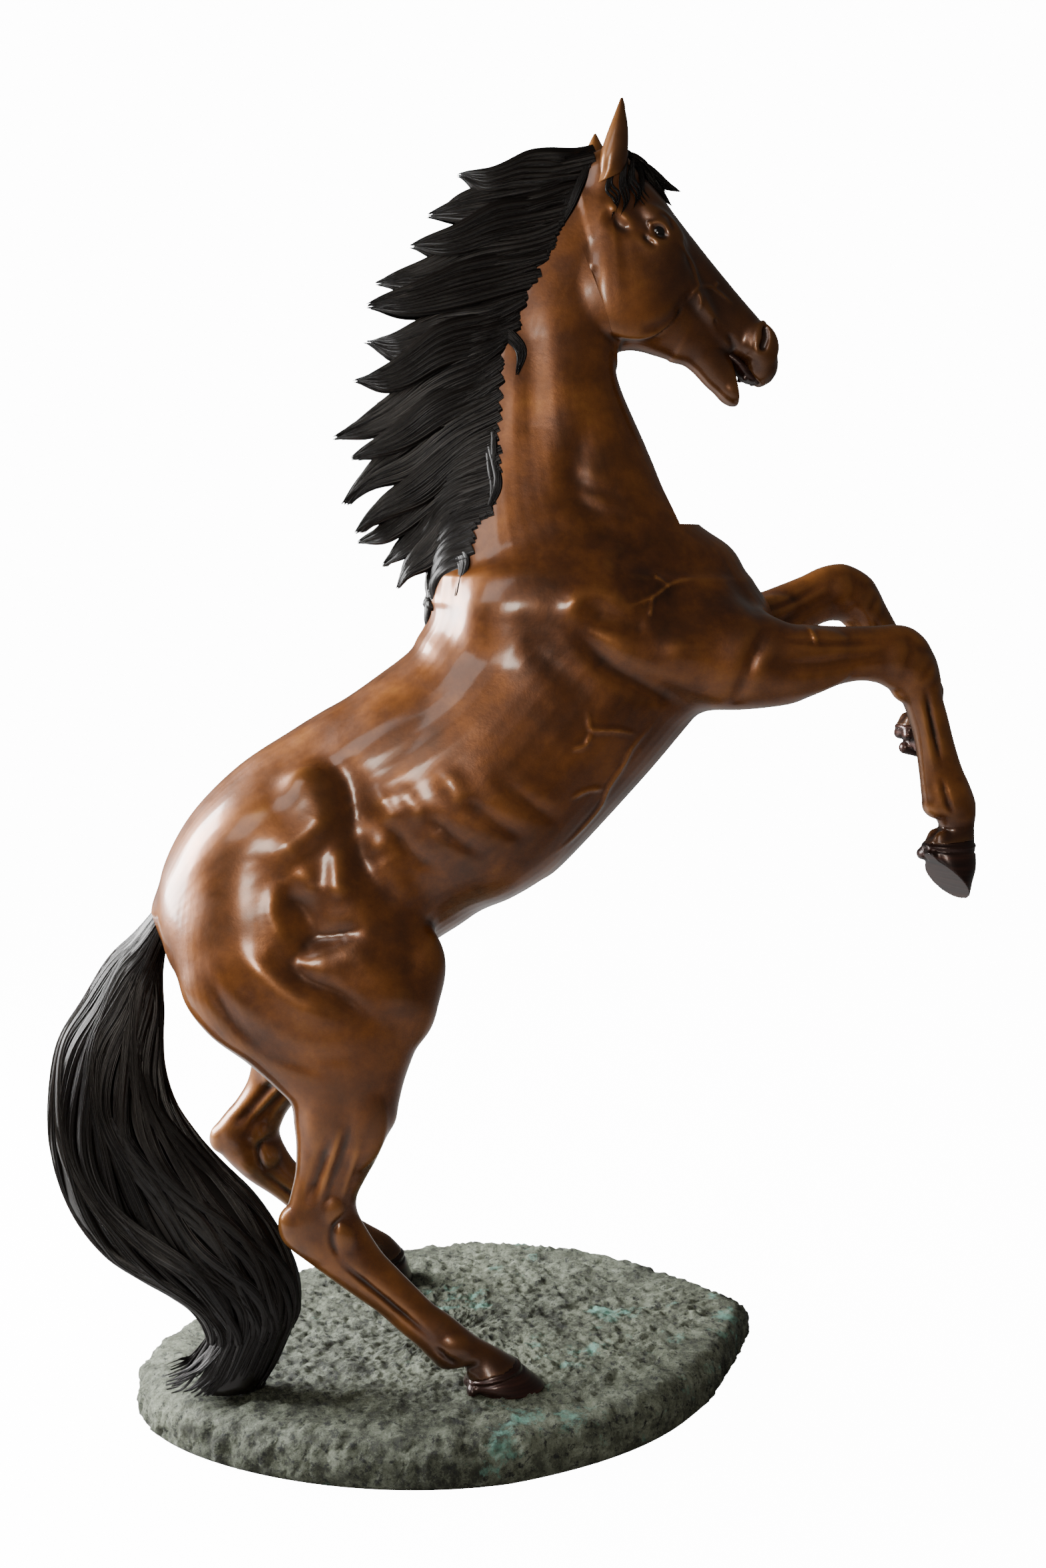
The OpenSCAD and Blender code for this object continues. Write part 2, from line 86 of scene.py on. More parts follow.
def make_object(name, verts, faces, material, smooth=True):
    """A mesh object at the origin; its place is in its vertices, in metres."""
    mesh = bpy.data.meshes.new(name)
    mesh.from_pydata([tuple(v) for v in verts], [], [tuple(f) for f in faces])
    mesh.materials.append(material)
    mesh.polygons.foreach_set("use_smooth", [smooth] * len(mesh.polygons))
    made = bpy.data.objects.new(name, mesh)
    bpy.context.scene.collection.objects.link(made)
    return made


scene = bpy.context.scene
eye_height = 1.70
reach = 3.5
aim_x = 0.145
turn, tilt = math.radians(10.0), math.radians(6.9)
camera = bpy.data.objects.new("camera", bpy.data.cameras.new("camera"))
camera.data.sensor_width = 36
camera.data.lens = 38.9
camera.location = (aim_x - reach * math.sin(turn), -reach * math.cos(turn), eye_height)
camera.rotation_euler = (math.pi / 2 - tilt, 0, -turn)
scene.collection.objects.link(camera)
scene.camera = camera

# The room is dim and its windows are bright, so that the wax has something to mirror.
# Behind the statue hangs white paper, whose glow only the camera sees.
PAPER_GLOW = 14.0
world = bpy.data.worlds.new("studio_air")
world.use_nodes = True
tree = world.node_tree
tree.nodes.clear()
seen = add_node(tree, "ShaderNodeLightPath").outputs["Is Camera Ray"]
room = add_node(tree, "ShaderNodeBackground", Color=linear("#d6d2cc"), Strength=0.17)
paper = add_node(tree, "ShaderNodeBackground", Color=linear("#ffffff"), Strength=PAPER_GLOW)
mixed = add_node(tree, "ShaderNodeMixShader", {0: seen, 1: room.outputs[0], 2: paper.outputs[0]})
add_node(tree, "ShaderNodeOutputWorld", {0: mixed.outputs[0]})
scene.world = world


def soft_light(name, place, aim, size, power, colour="#ffffff"):
    """A rectangular soft box at a place, turned to face a point."""
    lamp = bpy.data.lights.new(name, "AREA")
    lamp.shape = "RECTANGLE"
    lamp.size, lamp.size_y = size
    lamp.energy = power
    lamp.color = linear(colour)[:3]
    made = bpy.data.objects.new(name, lamp)
    made.location = place
    way = np.array(aim, float) - np.array(place, float)
    flat = math.hypot(way[0], way[1])
    made.rotation_euler = (math.atan2(flat, -way[2]), 0, math.atan2(way[1], way[0]) - math.pi / 2)
    scene.collection.objects.link(made)


soft_light("window_left", (-3.4, 1.2, 2.3), (-0.2, 0, 1.4), (2.4, 2.6), 1050)
soft_light("window_high", (-2.5, -2.5, 3.9), (0, 0, 1.5), (1.9, 1.9), 45)
soft_light("window_near", (-1.4, -4.0, 2.35), (0, 0, 1.3), (0.8, 0.9), 78, "#fff4e6")

floor_material, tree, shader = make_material("white_studio_paper")
shader.inputs["Base Color"].default_value = linear("#8e8e8e")
shader.inputs["Roughness"].default_value = 0.8
seen = add_node(tree, "ShaderNodeLightPath").outputs["Is Camera Ray"]
glow = add_node(tree, "ShaderNodeMath", {0: seen, 1: PAPER_GLOW}, operation="MULTIPLY")
tree.links.new(glow.outputs[0], shader.inputs["Emission Strength"])
shader.inputs["Emission Color"].default_value = linear("#ffffff")
half, below = 12, -0.0005
corners = [(-half, -half, below), (half, -half, below), (half, half, below), (-half, half, below)]
floor = make_object("floor", corners, [(0, 1, 2, 3)], floor_material, smooth=False)

# ---------------------------------------------------------------- sculpting in clay
# The master is modelled in clay before it is moulded and cast: rough sections are built
# up, muscles are laid on, and folds and veins are drawn. Here the clay is a field of
# distances in millimetres, which is turned into a skin and parted at the welds.
coarse = 1.0
FAR = 52.0             # distance, in mm, past which the clay is plain air
WELD_MARGIN = 0.012    # how far, in m, a skin is kept past a weld before it is cut
FOLD_REACH = 14.0      # size, in mm, of the hollows that count as a fold
FOLD_DEPTH = 2.5       # depth, in mm, of a full fold


def curve_through(points, per):
    """A smooth curve through points of any dimension, with so many steps to a span."""
    p = np.array(points, float)
    p = np.vstack([2 * p[0] - p[1], p, 2 * p[-1] - p[-2]])
    steps = np.linspace(0, 1, per, endpoint=False)[:, None]
    out = []
    for i in range(1, len(p) - 2):
        a, b, c, d = p[i - 1:i + 3]
        out.append(0.5 * (2 * b + (c - a) * steps + (2 * a - 5 * b + 4 * c - d) * steps ** 2
                          + (3 * b - a - 3 * c + d) * steps ** 3))
    return np.vstack(out + [p[-2:-1]])


def section_rings(sections, sides, per, power=2.2):
    """Rings of a chain of sections: x, z of one edge, x, z of the other, half width, y
    of the middle, and how much wider the first edge is than the second."""
    full = [tuple(s) + (0,) * (7 - len(s)) for s in sections]
    chain = curve_through(full, per)
    t = np.linspace(0, 2 * math.pi, sides, endpoint=False)
    up = np.sign(np.cos(t)) * abs(np.cos(t)) ** (2 / power)
    out = np.sign(np.sin(t)) * abs(np.sin(t)) ** (2 / power)
    a, b = chain[:, None, 0:2], chain[:, None, 2:4]
    plane = (a + b) / 2 + (a - b) / 2 * up[None, :, None]
    wide = chain[:, 4:5] * (1 + chain[:, 6:7] * up[None, :])
    y = chain[:, 5:6] + wide * out[None, :]
    return np.stack([plane[:, :, 0], y, plane[:, :, 1]], 2)


def tube(rings):
    """Vertices, quads and end triangles of a closed tube of rings."""
    m, n = rings.shape[:2]
    verts = np.vstack([rings.reshape(-1, 3), rings[0].mean(0), rings[-1].mean(0)])
    i, k = np.meshgrid(np.arange(m - 1), np.arange(n), indexing="ij")
    a, b = i * n + k, i * n + (k + 1) % n
    quads = np.stack([a, b, b + n, a + n], 2).reshape(-1, 4)
    k = np.arange(n)
    first = np.stack([np.full(n, m * n), (k + 1) % n, k], 1)
    last = np.stack([np.full(n, m * n + 1), (m - 1) * n + k, (m - 1) * n + (k + 1) % n], 1)
    return verts, quads, np.vstack([first, last])


def melt(a, b, k):
    """Smooth union of two distances."""
    h = np.maximum(k - abs(a - b), 0) / k
    return np.minimum(a, b) - h * h * k / 4


class Clay:
    """A block of clay over a box, in millimetres."""

    def __init__(self, lo, hi, grain):
        self.h = grain * coarse
        self.first = np.floor(np.array(lo) / self.h).astype(int)
        self.size = np.ceil(np.array(hi) / self.h).astype(int) - self.first + 1
        self.axes = [(self.first[i] + np.arange(self.size[i])) * self.h for i in range(3)]
        self.d = np.full(self.size, FAR, np.float32)

    def part(self, lo, hi):
        """The stretch of the block within a box, and its coordinates."""
        cut = []
        for i in range(3):
            a = int(np.clip(math.floor(lo[i] / self.h) - self.first[i], 0, self.size[i]))
            b = int(np.clip(math.ceil(hi[i] / self.h) - self.first[i] + 1, 0, self.size[i]))
            cut.append(slice(a, b))
        x, y, z = (self.axes[i][cut[i]].astype(np.float32) for i in range(3))
        return tuple(cut), x[:, None, None], y[None, :, None], z[None, None, :]

    def lay(self, cut, d, k, carve=False):
        """Adds a shape's distances to a stretch of the block, or carves the shape out."""
        if self.d[cut].size == 0:
            return
        if carve:
            self.d[cut] = -melt(-self.d[cut], d, k)
        else:
            self.d[cut] = melt(self.d[cut], d, k)

    def loft(self, sections, k=8.0, sides=56, per=8, power=2.2):
        """A body of sections; see section_rings."""
        verts, quads, tris = tube(section_rings(sections, sides, per, power))
        cut, x, y, z = self.part(verts.min(0) - FAR, verts.max(0) + FAR)
        if self.d[cut].size == 0:
            return
        band = math.ceil(FAR / self.h)
        grid = vdb.FloatGrid.createLevelSetFromPolygons(
            verts.astype(np.float32), triangles=tris.astype(np.uint32), quads=quads.astype(np.uint32),
            transform=vdb.createLinearTransform(self.h), exBandWidth=band, inBandWidth=band)
        d = np.empty(self.d[cut].shape, np.float32)
        grid.copyToArray(d, ijk=tuple(int(self.first[i] + cut[i].start) for i in range(3)))
        self.lay(cut, d, k)

    def ball(self, at, radii, k=20.0, tilt=0.0, swing=0.0, carve=False):
        """An ellipsoid, tilted nose-down about Y and then swung about Z, in degrees."""
        at, radii = np.array(at, float), np.array(radii, float)
        reach = radii.max() + k + 2 * self.h
        cut, x, y, z = self.part(at - reach, at + reach)
        x, y, z = x - at[0], y - at[1], z - at[2]
        if swing:
            c, s = math.cos(math.radians(swing)), math.sin(math.radians(swing))
            x, y = c * x + s * y, -s * x + c * y
        if tilt:
            c, s = math.cos(math.radians(tilt)), math.sin(math.radians(tilt))
            x, z = c * x - s * z, s * x + c * z
        near = np.sqrt((x / radii[0]) ** 2 + (y / radii[1]) ** 2 + (z / radii[2]) ** 2)
        steep = np.sqrt((x / radii[0] ** 2) ** 2 + (y / radii[1] ** 2) ** 2 + (z / radii[2] ** 2) ** 2)
        self.lay(cut, near * (near - 1) / np.maximum(steep, 1e-6), k, carve)

    def pair(self, at, radii, **more):
        """The same ellipsoid on both sides of the horse."""
        swing = more.pop("swing", 0)
        self.ball((at[0], -at[1], at[2]), radii, swing=swing, **more)
        self.ball(at, radii, swing=-swing, **more)

    def rope(self, points, radii, k=6.0, carve=False):
        """A roll of clay of changing thickness along a path."""
        points = [np.array(p, float) for p in points]
        radii = list(radii) if hasattr(radii, "__len__") else [radii] * len(points)
        reach = max(radii) + k + 2 * self.h
        lo = np.min(points, 0) - reach
        hi = np.max(points, 0) + reach
        cut, x, y, z = self.part(lo, hi)
        best = None
        for a, b, ra, rb in zip(points, points[1:], radii, radii[1:]):
            v = b - a
            t = ((x - a[0]) * v[0] + (y - a[1]) * v[1] + (z - a[2]) * v[2]) / (v @ v)
            t = np.clip(t, 0, 1)
            d = np.sqrt((x - a[0] - t * v[0]) ** 2 + (y - a[1] - t * v[1]) ** 2
                        + (z - a[2] - t * v[2]) ** 2) - (ra + (rb - ra) * t)
            best = d if best is None else np.minimum(best, d)
        self.lay(cut, best, k, carve)

    def draw(self, points, width, rise, taper=True, y_range=(-1e4, 1e4)):
        """A ridge (or, with a negative rise, a fold) drawn on both sides of the clay
        along a path of x, z, within a range of y."""
        path = curve_through(points, 6) if len(points) > 2 else np.array(points, float)
        reach = 3 * width
        lo, hi = path.min(0) - reach, path.max(0) + reach
        cut, x, y, z = self.part((lo[0], y_range[0], lo[1]), (hi[0], y_range[1], hi[1]))
        if self.d[cut].size == 0:
            return
        x, z = x[:, 0, :], z[0, :, :]
        best = np.full((x.shape[0], z.shape[1]), 1e6, np.float32)
        along = np.zeros_like(best)
        spans = np.linalg.norm(np.diff(path, axis=0), axis=1)
        starts = np.concatenate([[0], np.cumsum(spans)])
        for i, span in enumerate(spans):
            v = path[i + 1] - path[i]
            t = ((x - path[i, 0]) * v[0] + (z - path[i, 1]) * v[1]) / max(span ** 2, 1e-6)
            t = np.clip(t, 0, 1)
            d = (x - path[i, 0] - t * v[0]) ** 2 + (z - path[i, 1] - t * v[1]) ** 2
            nearer = d < best
            best = np.where(nearer, d, best)
            along = np.where(nearer, (starts[i] + t * span) / starts[-1], along)
        strength = rise * np.exp(-best / width ** 2)
        if taper:
            strength = strength * np.clip(1.25 * np.sin(np.pi * along), 0, 1) ** 1.3
        self.d[cut] -= strength[:, None, :].astype(np.float32)

    def side_of(self, x, z, side):
        """How far the clay's side reaches from the middle plane at x, z, or 0 in the air."""
        i = int(np.clip(round(x / self.h) - self.first[0], 0, self.size[0] - 1))
        j = int(np.clip(round(z / self.h) - self.first[2], 0, self.size[2] - 1))
        full = self.axes[1][self.d[i, :, j] < 0]
        full = full[full * side > 0]
        return float(abs(full).max()) if len(full) else 0.0

    def skin(self, smooth=2):
        """Vertices, quads and normals of the clay's surface, in metres, pointing out, and
        how deep in a fold (1) or how high on a ridge (-1) each vertex lies."""
        limit = 3 * self.h
        grid = vdb.FloatGrid()
        grid.background = limit
        grid.transform = vdb.createLinearTransform(self.h)
        grid.copyFromArray(np.clip(self.d, -limit, limit), ijk=tuple(int(v) for v in self.first))
        verts, quads = grid.convertToQuads(isovalue=0.0)
        verts, quads = verts.astype(float), quads.astype(int)
        n = len(verts)
        a, b = np.ascontiguousarray(np.vstack([quads[:, [i, (i + 1) % 4]] for i in range(4)]).T)
        count = np.maximum(np.bincount(a, minlength=n) + np.bincount(b, minlength=n), 1)[:, None]

        def neighbours(points):
            """The mean of each vertex's neighbours."""
            return np.stack([np.bincount(a, points[b, i], n) + np.bincount(b, points[a, i], n)
                             for i in range(3)], 1) / count

        for step in range(2 * smooth):
            verts += (0.5 if step % 2 == 0 else -0.52) * (neighbours(verts) - verts)
        corner = verts[quads]
        diagonals = np.cross(corner[:, 2] - corner[:, 0], corner[:, 3] - corner[:, 1])
        if (diagonals * corner.mean(1)).sum() < 0:
            quads = quads[:, ::-1]
            diagonals = -diagonals
        normals = np.stack([np.bincount(quads.ravel(), np.repeat(diagonals[:, i], 4), n)
                            for i in range(3)], 1)
        normals /= np.maximum(np.linalg.norm(normals, axis=1), 1e-9)[:, None]
        spread = verts
        for step in range(max(4, int((FOLD_REACH / self.h) ** 2))):
            spread = neighbours(spread)
        fold = np.clip(((spread - verts) * normals).sum(1) / FOLD_DEPTH, -1, 1)
        return verts / 1000, quads, normals, fold


def seam(a, b, keep):
    """A weld plane through two x, z points and square to the horse's side, in metres.
    It keeps the side that holds the third point."""
    a, b, keep = (np.array([p[0], 0, p[1]]) / 1000 for p in (a, b, keep))
    way = np.cross(b - a, (0, 1, 0))
    way /= np.linalg.norm(way)
    return a, way if way @ (keep - a) > 0 else -way


def part_casting(name, skin, seams, material, shade=None, wedge=None):
    """Cuts a casting out of a skin at its weld planes and closes the cuts. Shade is the
    x, z where the patina starts to darken, where it is darkest, and how dark. A wedge
    is two planes and whether the casting is what lies inside both of them."""
    verts, quads, normals, fold = skin
    keep = np.ones(len(verts), bool)
    for at, way in seams:
        keep &= (verts - at) @ way > -WELD_MARGIN * coarse
    faces = quads[keep[quads].all(1)]
    used = np.unique(faces)
    renumber = np.zeros(len(verts), int)
    renumber[used] = np.arange(len(used))
    dark = np.zeros(len(used))
    if shade:
        start, end = (np.array(p) / 1000 for p in shade[:2])
        run = end - start
        dark = np.clip((verts[used][:, [0, 2]] - start) @ run / (run @ run), 0, 1)
        dark = shade[2] * dark * dark * (3 - 2 * dark)
    mesh = bpy.data.meshes.new(name)
    mesh.from_pydata(verts[used].tolist(), [], renumber[faces].tolist())
    for label, kind, key, values in (("cast_normal", "FLOAT_VECTOR", "vector", normals[used].ravel()),
                                     ("fold", "FLOAT", "value", fold[used]),
                                     ("shade", "FLOAT", "value", dark)):
        mesh.attributes.new(label, kind, "POINT").data.foreach_set(key, values)
    block = bmesh.new()
    block.from_mesh(mesh)

    def bisect(at, way, clear):
        bmesh.ops.bisect_plane(block, geom=block.verts[:] + block.edges[:] + block.faces[:],
                               plane_co=at, plane_no=-way, clear_outer=clear)

    def close(rim):
        bmesh.ops.triangle_fill(block, edges=rim, use_beauty=True, use_dissolve=False)

    for at, way in seams:
        bisect(at, way, True)
        close([e for e in block.edges if e.is_boundary
               and all(abs((np.array(v.co) - at) @ way) < 1e-5 for v in e.verts)])
    if wedge:
        planes, inside = wedge[:2], wedge[2]
        for at, way in planes:
            bisect(at, way, False)
        gone = []
        for face in block.faces:
            middle = np.array(face.calc_center_median())
            if all((middle - at) @ way > 0 for at, way in planes) != inside:
                gone.append(face)
        bmesh.ops.delete(block, geom=gone, context="FACES")
        close([e for e in block.edges if e.is_boundary])
    bmesh.ops.delete(block, geom=[v for v in block.verts if not v.link_faces], context="VERTS")
    block.to_mesh(mesh)
    block.free()
    mesh.materials.append(material)
    mesh.polygons.foreach_set("use_smooth", [True] * len(mesh.polygons))
    smooth = np.empty(3 * len(mesh.vertices))
    mesh.attributes["cast_normal"].data.foreach_get("vector", smooth)
    mesh.normals_split_custom_set_from_vertices(smooth.reshape(-1, 3).tolist())
    mesh.attributes.remove(mesh.attributes["cast_normal"])
    made = bpy.data.objects.new(name, mesh)
    scene.collection.objects.link(made)
    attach(made, "root")
    return made


# ---------------------------------------------------------------- patinas and metals
# Waxed bronze: the body is a red-brown iron patina, mottled and darker in the hollows and
# towards the feet, the hooves are nearly black-brown, and the hair is black. The rock has
# a green copper-nitrate patina, and the frame is plain brushed steel.


def pattern(tree, scale, detail=4.0, rough=0.55, stretch=(1, 1, 1)):
    """Noise on the object's own coordinates, in features to the metre."""
    where = add_node(tree, "ShaderNodeTexCoord").outputs["Object"]
    mapped = add_node(tree, "ShaderNodeMapping", {"Vector": where}, Scale=stretch).outputs[0]
    return add_node(tree, "ShaderNodeTexNoise", {"Vector": mapped}, Scale=scale, Detail=detail,
                    Roughness=rough).outputs[0]


def set_finish(tree, shader, links, **values):
    """Links colours and patterns to a shader, and sets its plain values by name."""
    for socket, source in links.items():
        tree.links.new(source, shader.inputs[socket])
    for key, value in values.items():
        shader.inputs[key.replace("_", " ")].default_value = value


# Red-brown patina under clear wax, worn warmer on the ridges and left dark in the folds
body_bronze, tree, shader = make_material("brown_patina_waxed_bronze")
mottle = add_node(tree, "ShaderNodeValToRGB", {"Fac": pattern(tree, 9.0, 6.0, 0.62)}, stops=(
    (0.30, "#2c1507"), (0.48, "#5f330f"), (0.64, "#864e1a"), (0.80, "#a56a28"))).outputs[0]
clouds = add_node(tree, "ShaderNodeValToRGB", {"Fac": pattern(tree, 2.6, 3.0, 0.5)}, stops=(
    (0.35, "#40200b"), (0.65, "#7c4a20"))).outputs[0]
patina = add_node(tree, "ShaderNodeMix", {0: 0.4, 6: mottle, 7: clouds}, data_type="RGBA").outputs[2]
fold = add_node(tree, "ShaderNodeAttribute", attribute_name="fold").outputs["Fac"]
hollow = add_node(tree, "ShaderNodeMapRange", {"Value": fold}, From_Min=0.05, From_Max=0.9,
                  To_Min=0.0, To_Max=0.85).outputs[0]
ridge = add_node(tree, "ShaderNodeMapRange", {"Value": fold}, From_Min=-0.9, From_Max=-0.1,
                 To_Min=0.5, To_Max=0.0).outputs[0]
shade = add_node(tree, "ShaderNodeAttribute", attribute_name="shade").outputs["Fac"]
for share, colour in ((hollow, "#160903"), (ridge, "#b07436"), (shade, "#20100b")):
    patina = add_node(tree, "ShaderNodeMix", {0: share, 6: patina, 7: linear(colour)},
                      data_type="RGBA").outputs[2]
satin = add_node(tree, "ShaderNodeMapRange", {"Value": pattern(tree, 14.0)}, From_Min=0.3, From_Max=0.7,
                 To_Min=0.30, To_Max=0.46).outputs[0]
grain = add_node(tree, "ShaderNodeBump", {"Height": pattern(tree, 120.0, 3.0, 0.6)},
                 Strength=0.12, Distance=0.002).outputs[0]
set_finish(tree, shader, {"Base Color": patina, "Roughness": satin, "Normal": grain},
           Metallic=0.5, Coat_Weight=0.6, Coat_Roughness=0.17)

# Nearly black-brown patina of the hooves, satin where hands and wax have polished it,
# with the fine level rings in which a hoof grows
hoof_bronze, tree, shader = make_material("dark_brown_hoof_bronze")
growth = pattern(tree, 5.0, 4.0, 0.5, (1, 1, 16))
horn = add_node(tree, "ShaderNodeValToRGB", {"Fac": growth}, stops=(
    (0.35, "#1f100d"), (0.6, "#3a2019"), (0.8, "#553224"))).outputs[0]
rings = add_node(tree, "ShaderNodeBump", {"Height": growth}, Strength=0.25, Distance=0.003).outputs[0]
set_finish(tree, shader, {"Base Color": horn, "Normal": rings},
           Metallic=0.55, Roughness=0.34, Coat_Weight=0.35, Coat_Roughness=0.2)

# Black patina of the mane and tail; the strands are combed in the clay, and the
# finest of them are only a roughness along the lock
hair_bronze, tree, shader = make_material("black_patina_hair_bronze")
strand = add_node(tree, "ShaderNodeUVMap", uv_map="strand").outputs[0]
strand = add_node(tree, "ShaderNodeMapping", {"Vector": strand}, Scale=(26, 0.7, 1)).outputs[0]
combed = add_node(tree, "ShaderNodeTexNoise", {"Vector": strand}, Scale=1.0, Detail=3.0).outputs[0]
black = add_node(tree, "ShaderNodeValToRGB", {"Fac": combed}, stops=(
    (0.3, "#060403"), (0.55, "#100b08"), (0.8, "#2c241e"))).outputs[0]
hairs = add_node(tree, "ShaderNodeBump", {"Height": combed}, Strength=1.0, Distance=0.004).outputs[0]
set_finish(tree, shader, {"Base Color": black, "Normal": hairs},
           Metallic=0.1, Roughness=0.3, Specular_IOR_Level=0.42)

# Green patina on the rock: dark green-black ground, pale and turquoise bloom, brown runs;
# its grit is drawn coarser than the real one, so that it shows
rock_bronze, tree, shader = make_material("verdigris_rock_bronze")
bloom = add_node(tree, "ShaderNodeValToRGB", {"Fac": pattern(tree, 24.0, 12.0, 0.85)}, stops=(
    (0.38, "#15160d"), (0.46, "#3d4234"), (0.52, "#757c6a"), (0.58, "#8f9686"), (0.70, "#bcc5b3"))).outputs[0]
runs = add_node(tree, "ShaderNodeValToRGB", {"Fac": pattern(tree, 3.1, 5.0, 0.6)}, stops=(
    (0.4, "#2c2f23"), (0.6, "#7f8571"))).outputs[0]
crust = add_node(tree, "ShaderNodeMix", {0: 0.35, 6: bloom, 7: runs}, data_type="RGBA").outputs[2]
speck = add_node(tree, "ShaderNodeMapRange", {"Value": pattern(tree, 60.0, 8.0, 0.8)},
                 From_Min=0.52, From_Max=0.60).outputs[0]
salt = add_node(tree, "ShaderNodeMapRange", {"Value": pattern(tree, 5.3, 7.0, 0.7, (1, 1.3, 1))},
                From_Min=0.60, From_Max=0.70).outputs[0]
for share, colour in ((speck, "#1d211c"), (salt, "#7fb5a5")):
    crust = add_node(tree, "ShaderNodeMix", {0: share, 6: crust, 7: linear(colour)},
                     data_type="RGBA").outputs[2]
grit = add_node(tree, "ShaderNodeBump", {"Height": pattern(tree, 75.0, 10.0, 0.8)},
                Strength=1.0, Distance=0.012).outputs[0]
set_finish(tree, shader, {"Base Color": crust, "Normal": grit}, Metallic=0.15, Roughness=0.62)

# Dark bronze of the eyes, polished so that they catch the light
eye_bronze, tree, shader = make_material("polished_dark_eye_bronze")
set_finish(tree, shader, {}, Base_Color=linear("#120a07"), Metallic=0.4, Roughness=0.1, Coat_Weight=0.8)

# Flat bar and bolts, brushed along the horse
steel, tree, shader = make_material("brushed_mild_steel")
brushed = add_node(tree, "ShaderNodeMapRange", {"Value": pattern(tree, 40.0, 3.0, 0.5, (0.05, 1, 1))},
                   From_Min=0.3, From_Max=0.7, To_Min=0.28, To_Max=0.45).outputs[0]
set_finish(tree, shader, {"Roughness": brushed}, Base_Color=linear("#8d9093"), Metallic=1.0)
for name in ("base_frame", "anchor_nuts", "foot_plate_bolts", "foot_plate_nuts", "right_leg_bar",
             "left_leg_bar", "tail_bar", "hip_beam", "spine_bar", "shoulder_beam", "neck_bar"):
    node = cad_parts[name]
    node.data.materials.clear()
    node.data.materials.append(steel)

# ---------------------------------------------------------------- trunk and neck
# Three castings of the body and one of the neck, and the roots of the legs cast with
# them: sections of the body first, then the muscles, folds, ribs and veins.
TRUNK = [(-604, 1012, -590, 962, 50, 0), (-606, 1055, -560, 905, 112, 0), (-586, 1138, -470, 870, 160, 0),
         (-530, 1234, -330, 868, 192, 0), (-437, 1326, -150, 905, 208, 0, -0.06),
         (-328, 1397, -13, 978, 200, 0, -0.10), (-272, 1431, 50, 1018, 203, 0, -0.12),
         (-218, 1461, 110, 1042, 212, 0, -0.14), (-158, 1502, 170, 1075, 218, 0, -0.14),
         (-91, 1552, 229, 1118, 218, 0, -0.14), (-72, 1582, 395, 1290, 206, 0, -0.12),
         (-58, 1605, 520, 1432, 200, 0, -0.10), (-48, 1632, 640, 1555, 190, 0, -0.06),
         (-42, 1660, 668, 1620, 176, 0, 0), (-36, 1700, 618, 1690, 158, 0, 0.04)]
NECK = [(-42, 1660, 668, 1620, 170, 0, 0), (-36, 1700, 625, 1696, 152, 0, 0.04),
        (-28, 1742, 586, 1762, 140, 0, 0.04), (-18, 1800, 514, 1812, 124, 0, 0.0),
        (-5, 1870, 448, 1876, 108, 0, -0.1), (5, 1940, 414, 1938, 98, 0, -0.18),
        (15, 2010, 385, 1998, 90, 0, -0.22), (30, 2095, 352, 2068, 82, 0, -0.22),
        (62, 2205, 340, 2100, 77, 0, -0.18), (122, 2350, 336, 2115, 74, 0, -0.1),
        (200, 2486, 335, 2126, 72, 0, 0), (262, 2540, 332, 2135, 76, 0, 0.1),
        (300, 2540, 331, 2140, 78, 0, 0.1)]
RIGHT_THIGH = [(-150, 1130, -500, 1140, 90, -90), (-120, 1010, -556, 1020, 106, -114),
               (-58, 905, -560, 905, 112, -146), (-76, 835, -512, 824, 104, -162),
               (-104, 773, -436, 764, 88, -178), (-126, 720, -380, 712, 74, -190),
               (-139, 675, -352, 680, 62, -200)]
LEFT_THIGH = [(-150, 1130, -500, 1140, 90, 90), (-120, 1010, -560, 1020, 106, 114),
              (-66, 905, -568, 905, 112, 146), (-100, 835, -525, 824, 104, 162),
              (-140, 773, -465, 770, 88, 178), (-170, 722, -425, 722, 74, 190),
              (-195, 682, -408, 688, 62, 200)]
RIGHT_ARM = [(380, 1640, 350, 1440, 90, -80), (470, 1640, 440, 1440, 92, -112),
             (560, 1636, 545, 1436, 82, -145), (655, 1612, 650, 1446, 66, -165)]
LEFT_ARM = [(390, 1640, 370, 1440, 90, 80), (480, 1640, 460, 1440, 92, 112),
            (570, 1650, 610, 1462, 80, 148), (650, 1660, 690, 1502, 65, 165)]
RIGHT_HIND = [(-139, 675, -352, 680, 62, -200), (-147, 638, -346, 636, 55, -205),
              (-165, 608, -343, 600, 50, -208), (-188, 562, -345, 550, 44, -212),
              (-207, 530, -352, 515, 40, -215), (-225, 495, -362, 478, 38, -218),
              (-226, 465, -375, 440, 39, -220), (-212, 432, -370, 408, 38, -222),
              (-180, 378, -318, 362, 34, -226), (-150, 343, -247, 304, 31, -231),
              (-114, 304, -191, 260, 29, -236), (-78, 266, -145, 216, 29, -241),
              (-45, 241, -112, 186, 31, -246), (-15, 215, -85, 158, 37, -251),
              (12, 193, -55, 141, 36, -255), (42, 175, -20, 146, 33, -259), (84, 148, -14, 122, 45, -263)]
LEFT_HIND = [(-195, 682, -408, 688, 62, 200), (-228, 650, -420, 650, 55, 205),
             (-258, 612, -432, 605, 50, 210), (-310, 572, -456, 564, 44, 215),
             (-340, 540, -480, 535, 40, 220), (-357, 508, -503, 503, 39, 222),
             (-362, 482, -508, 470, 39, 225), (-350, 447, -490, 440, 38, 228),
             (-330, 412, -440, 384, 34, 232), (-306, 386, -380, 336, 31, 237),
             (-268, 336, -328, 286, 29, 246), (-225, 290, -285, 240, 29, 256),
             (-192, 260, -255, 205, 31, 265), (-164, 238, -232, 180, 37, 272),
             (-138, 220, -206, 160, 36, 277), (-114, 202, -172, 156, 33, 281),
             (-88, 172, -188, 128, 45, 284)]
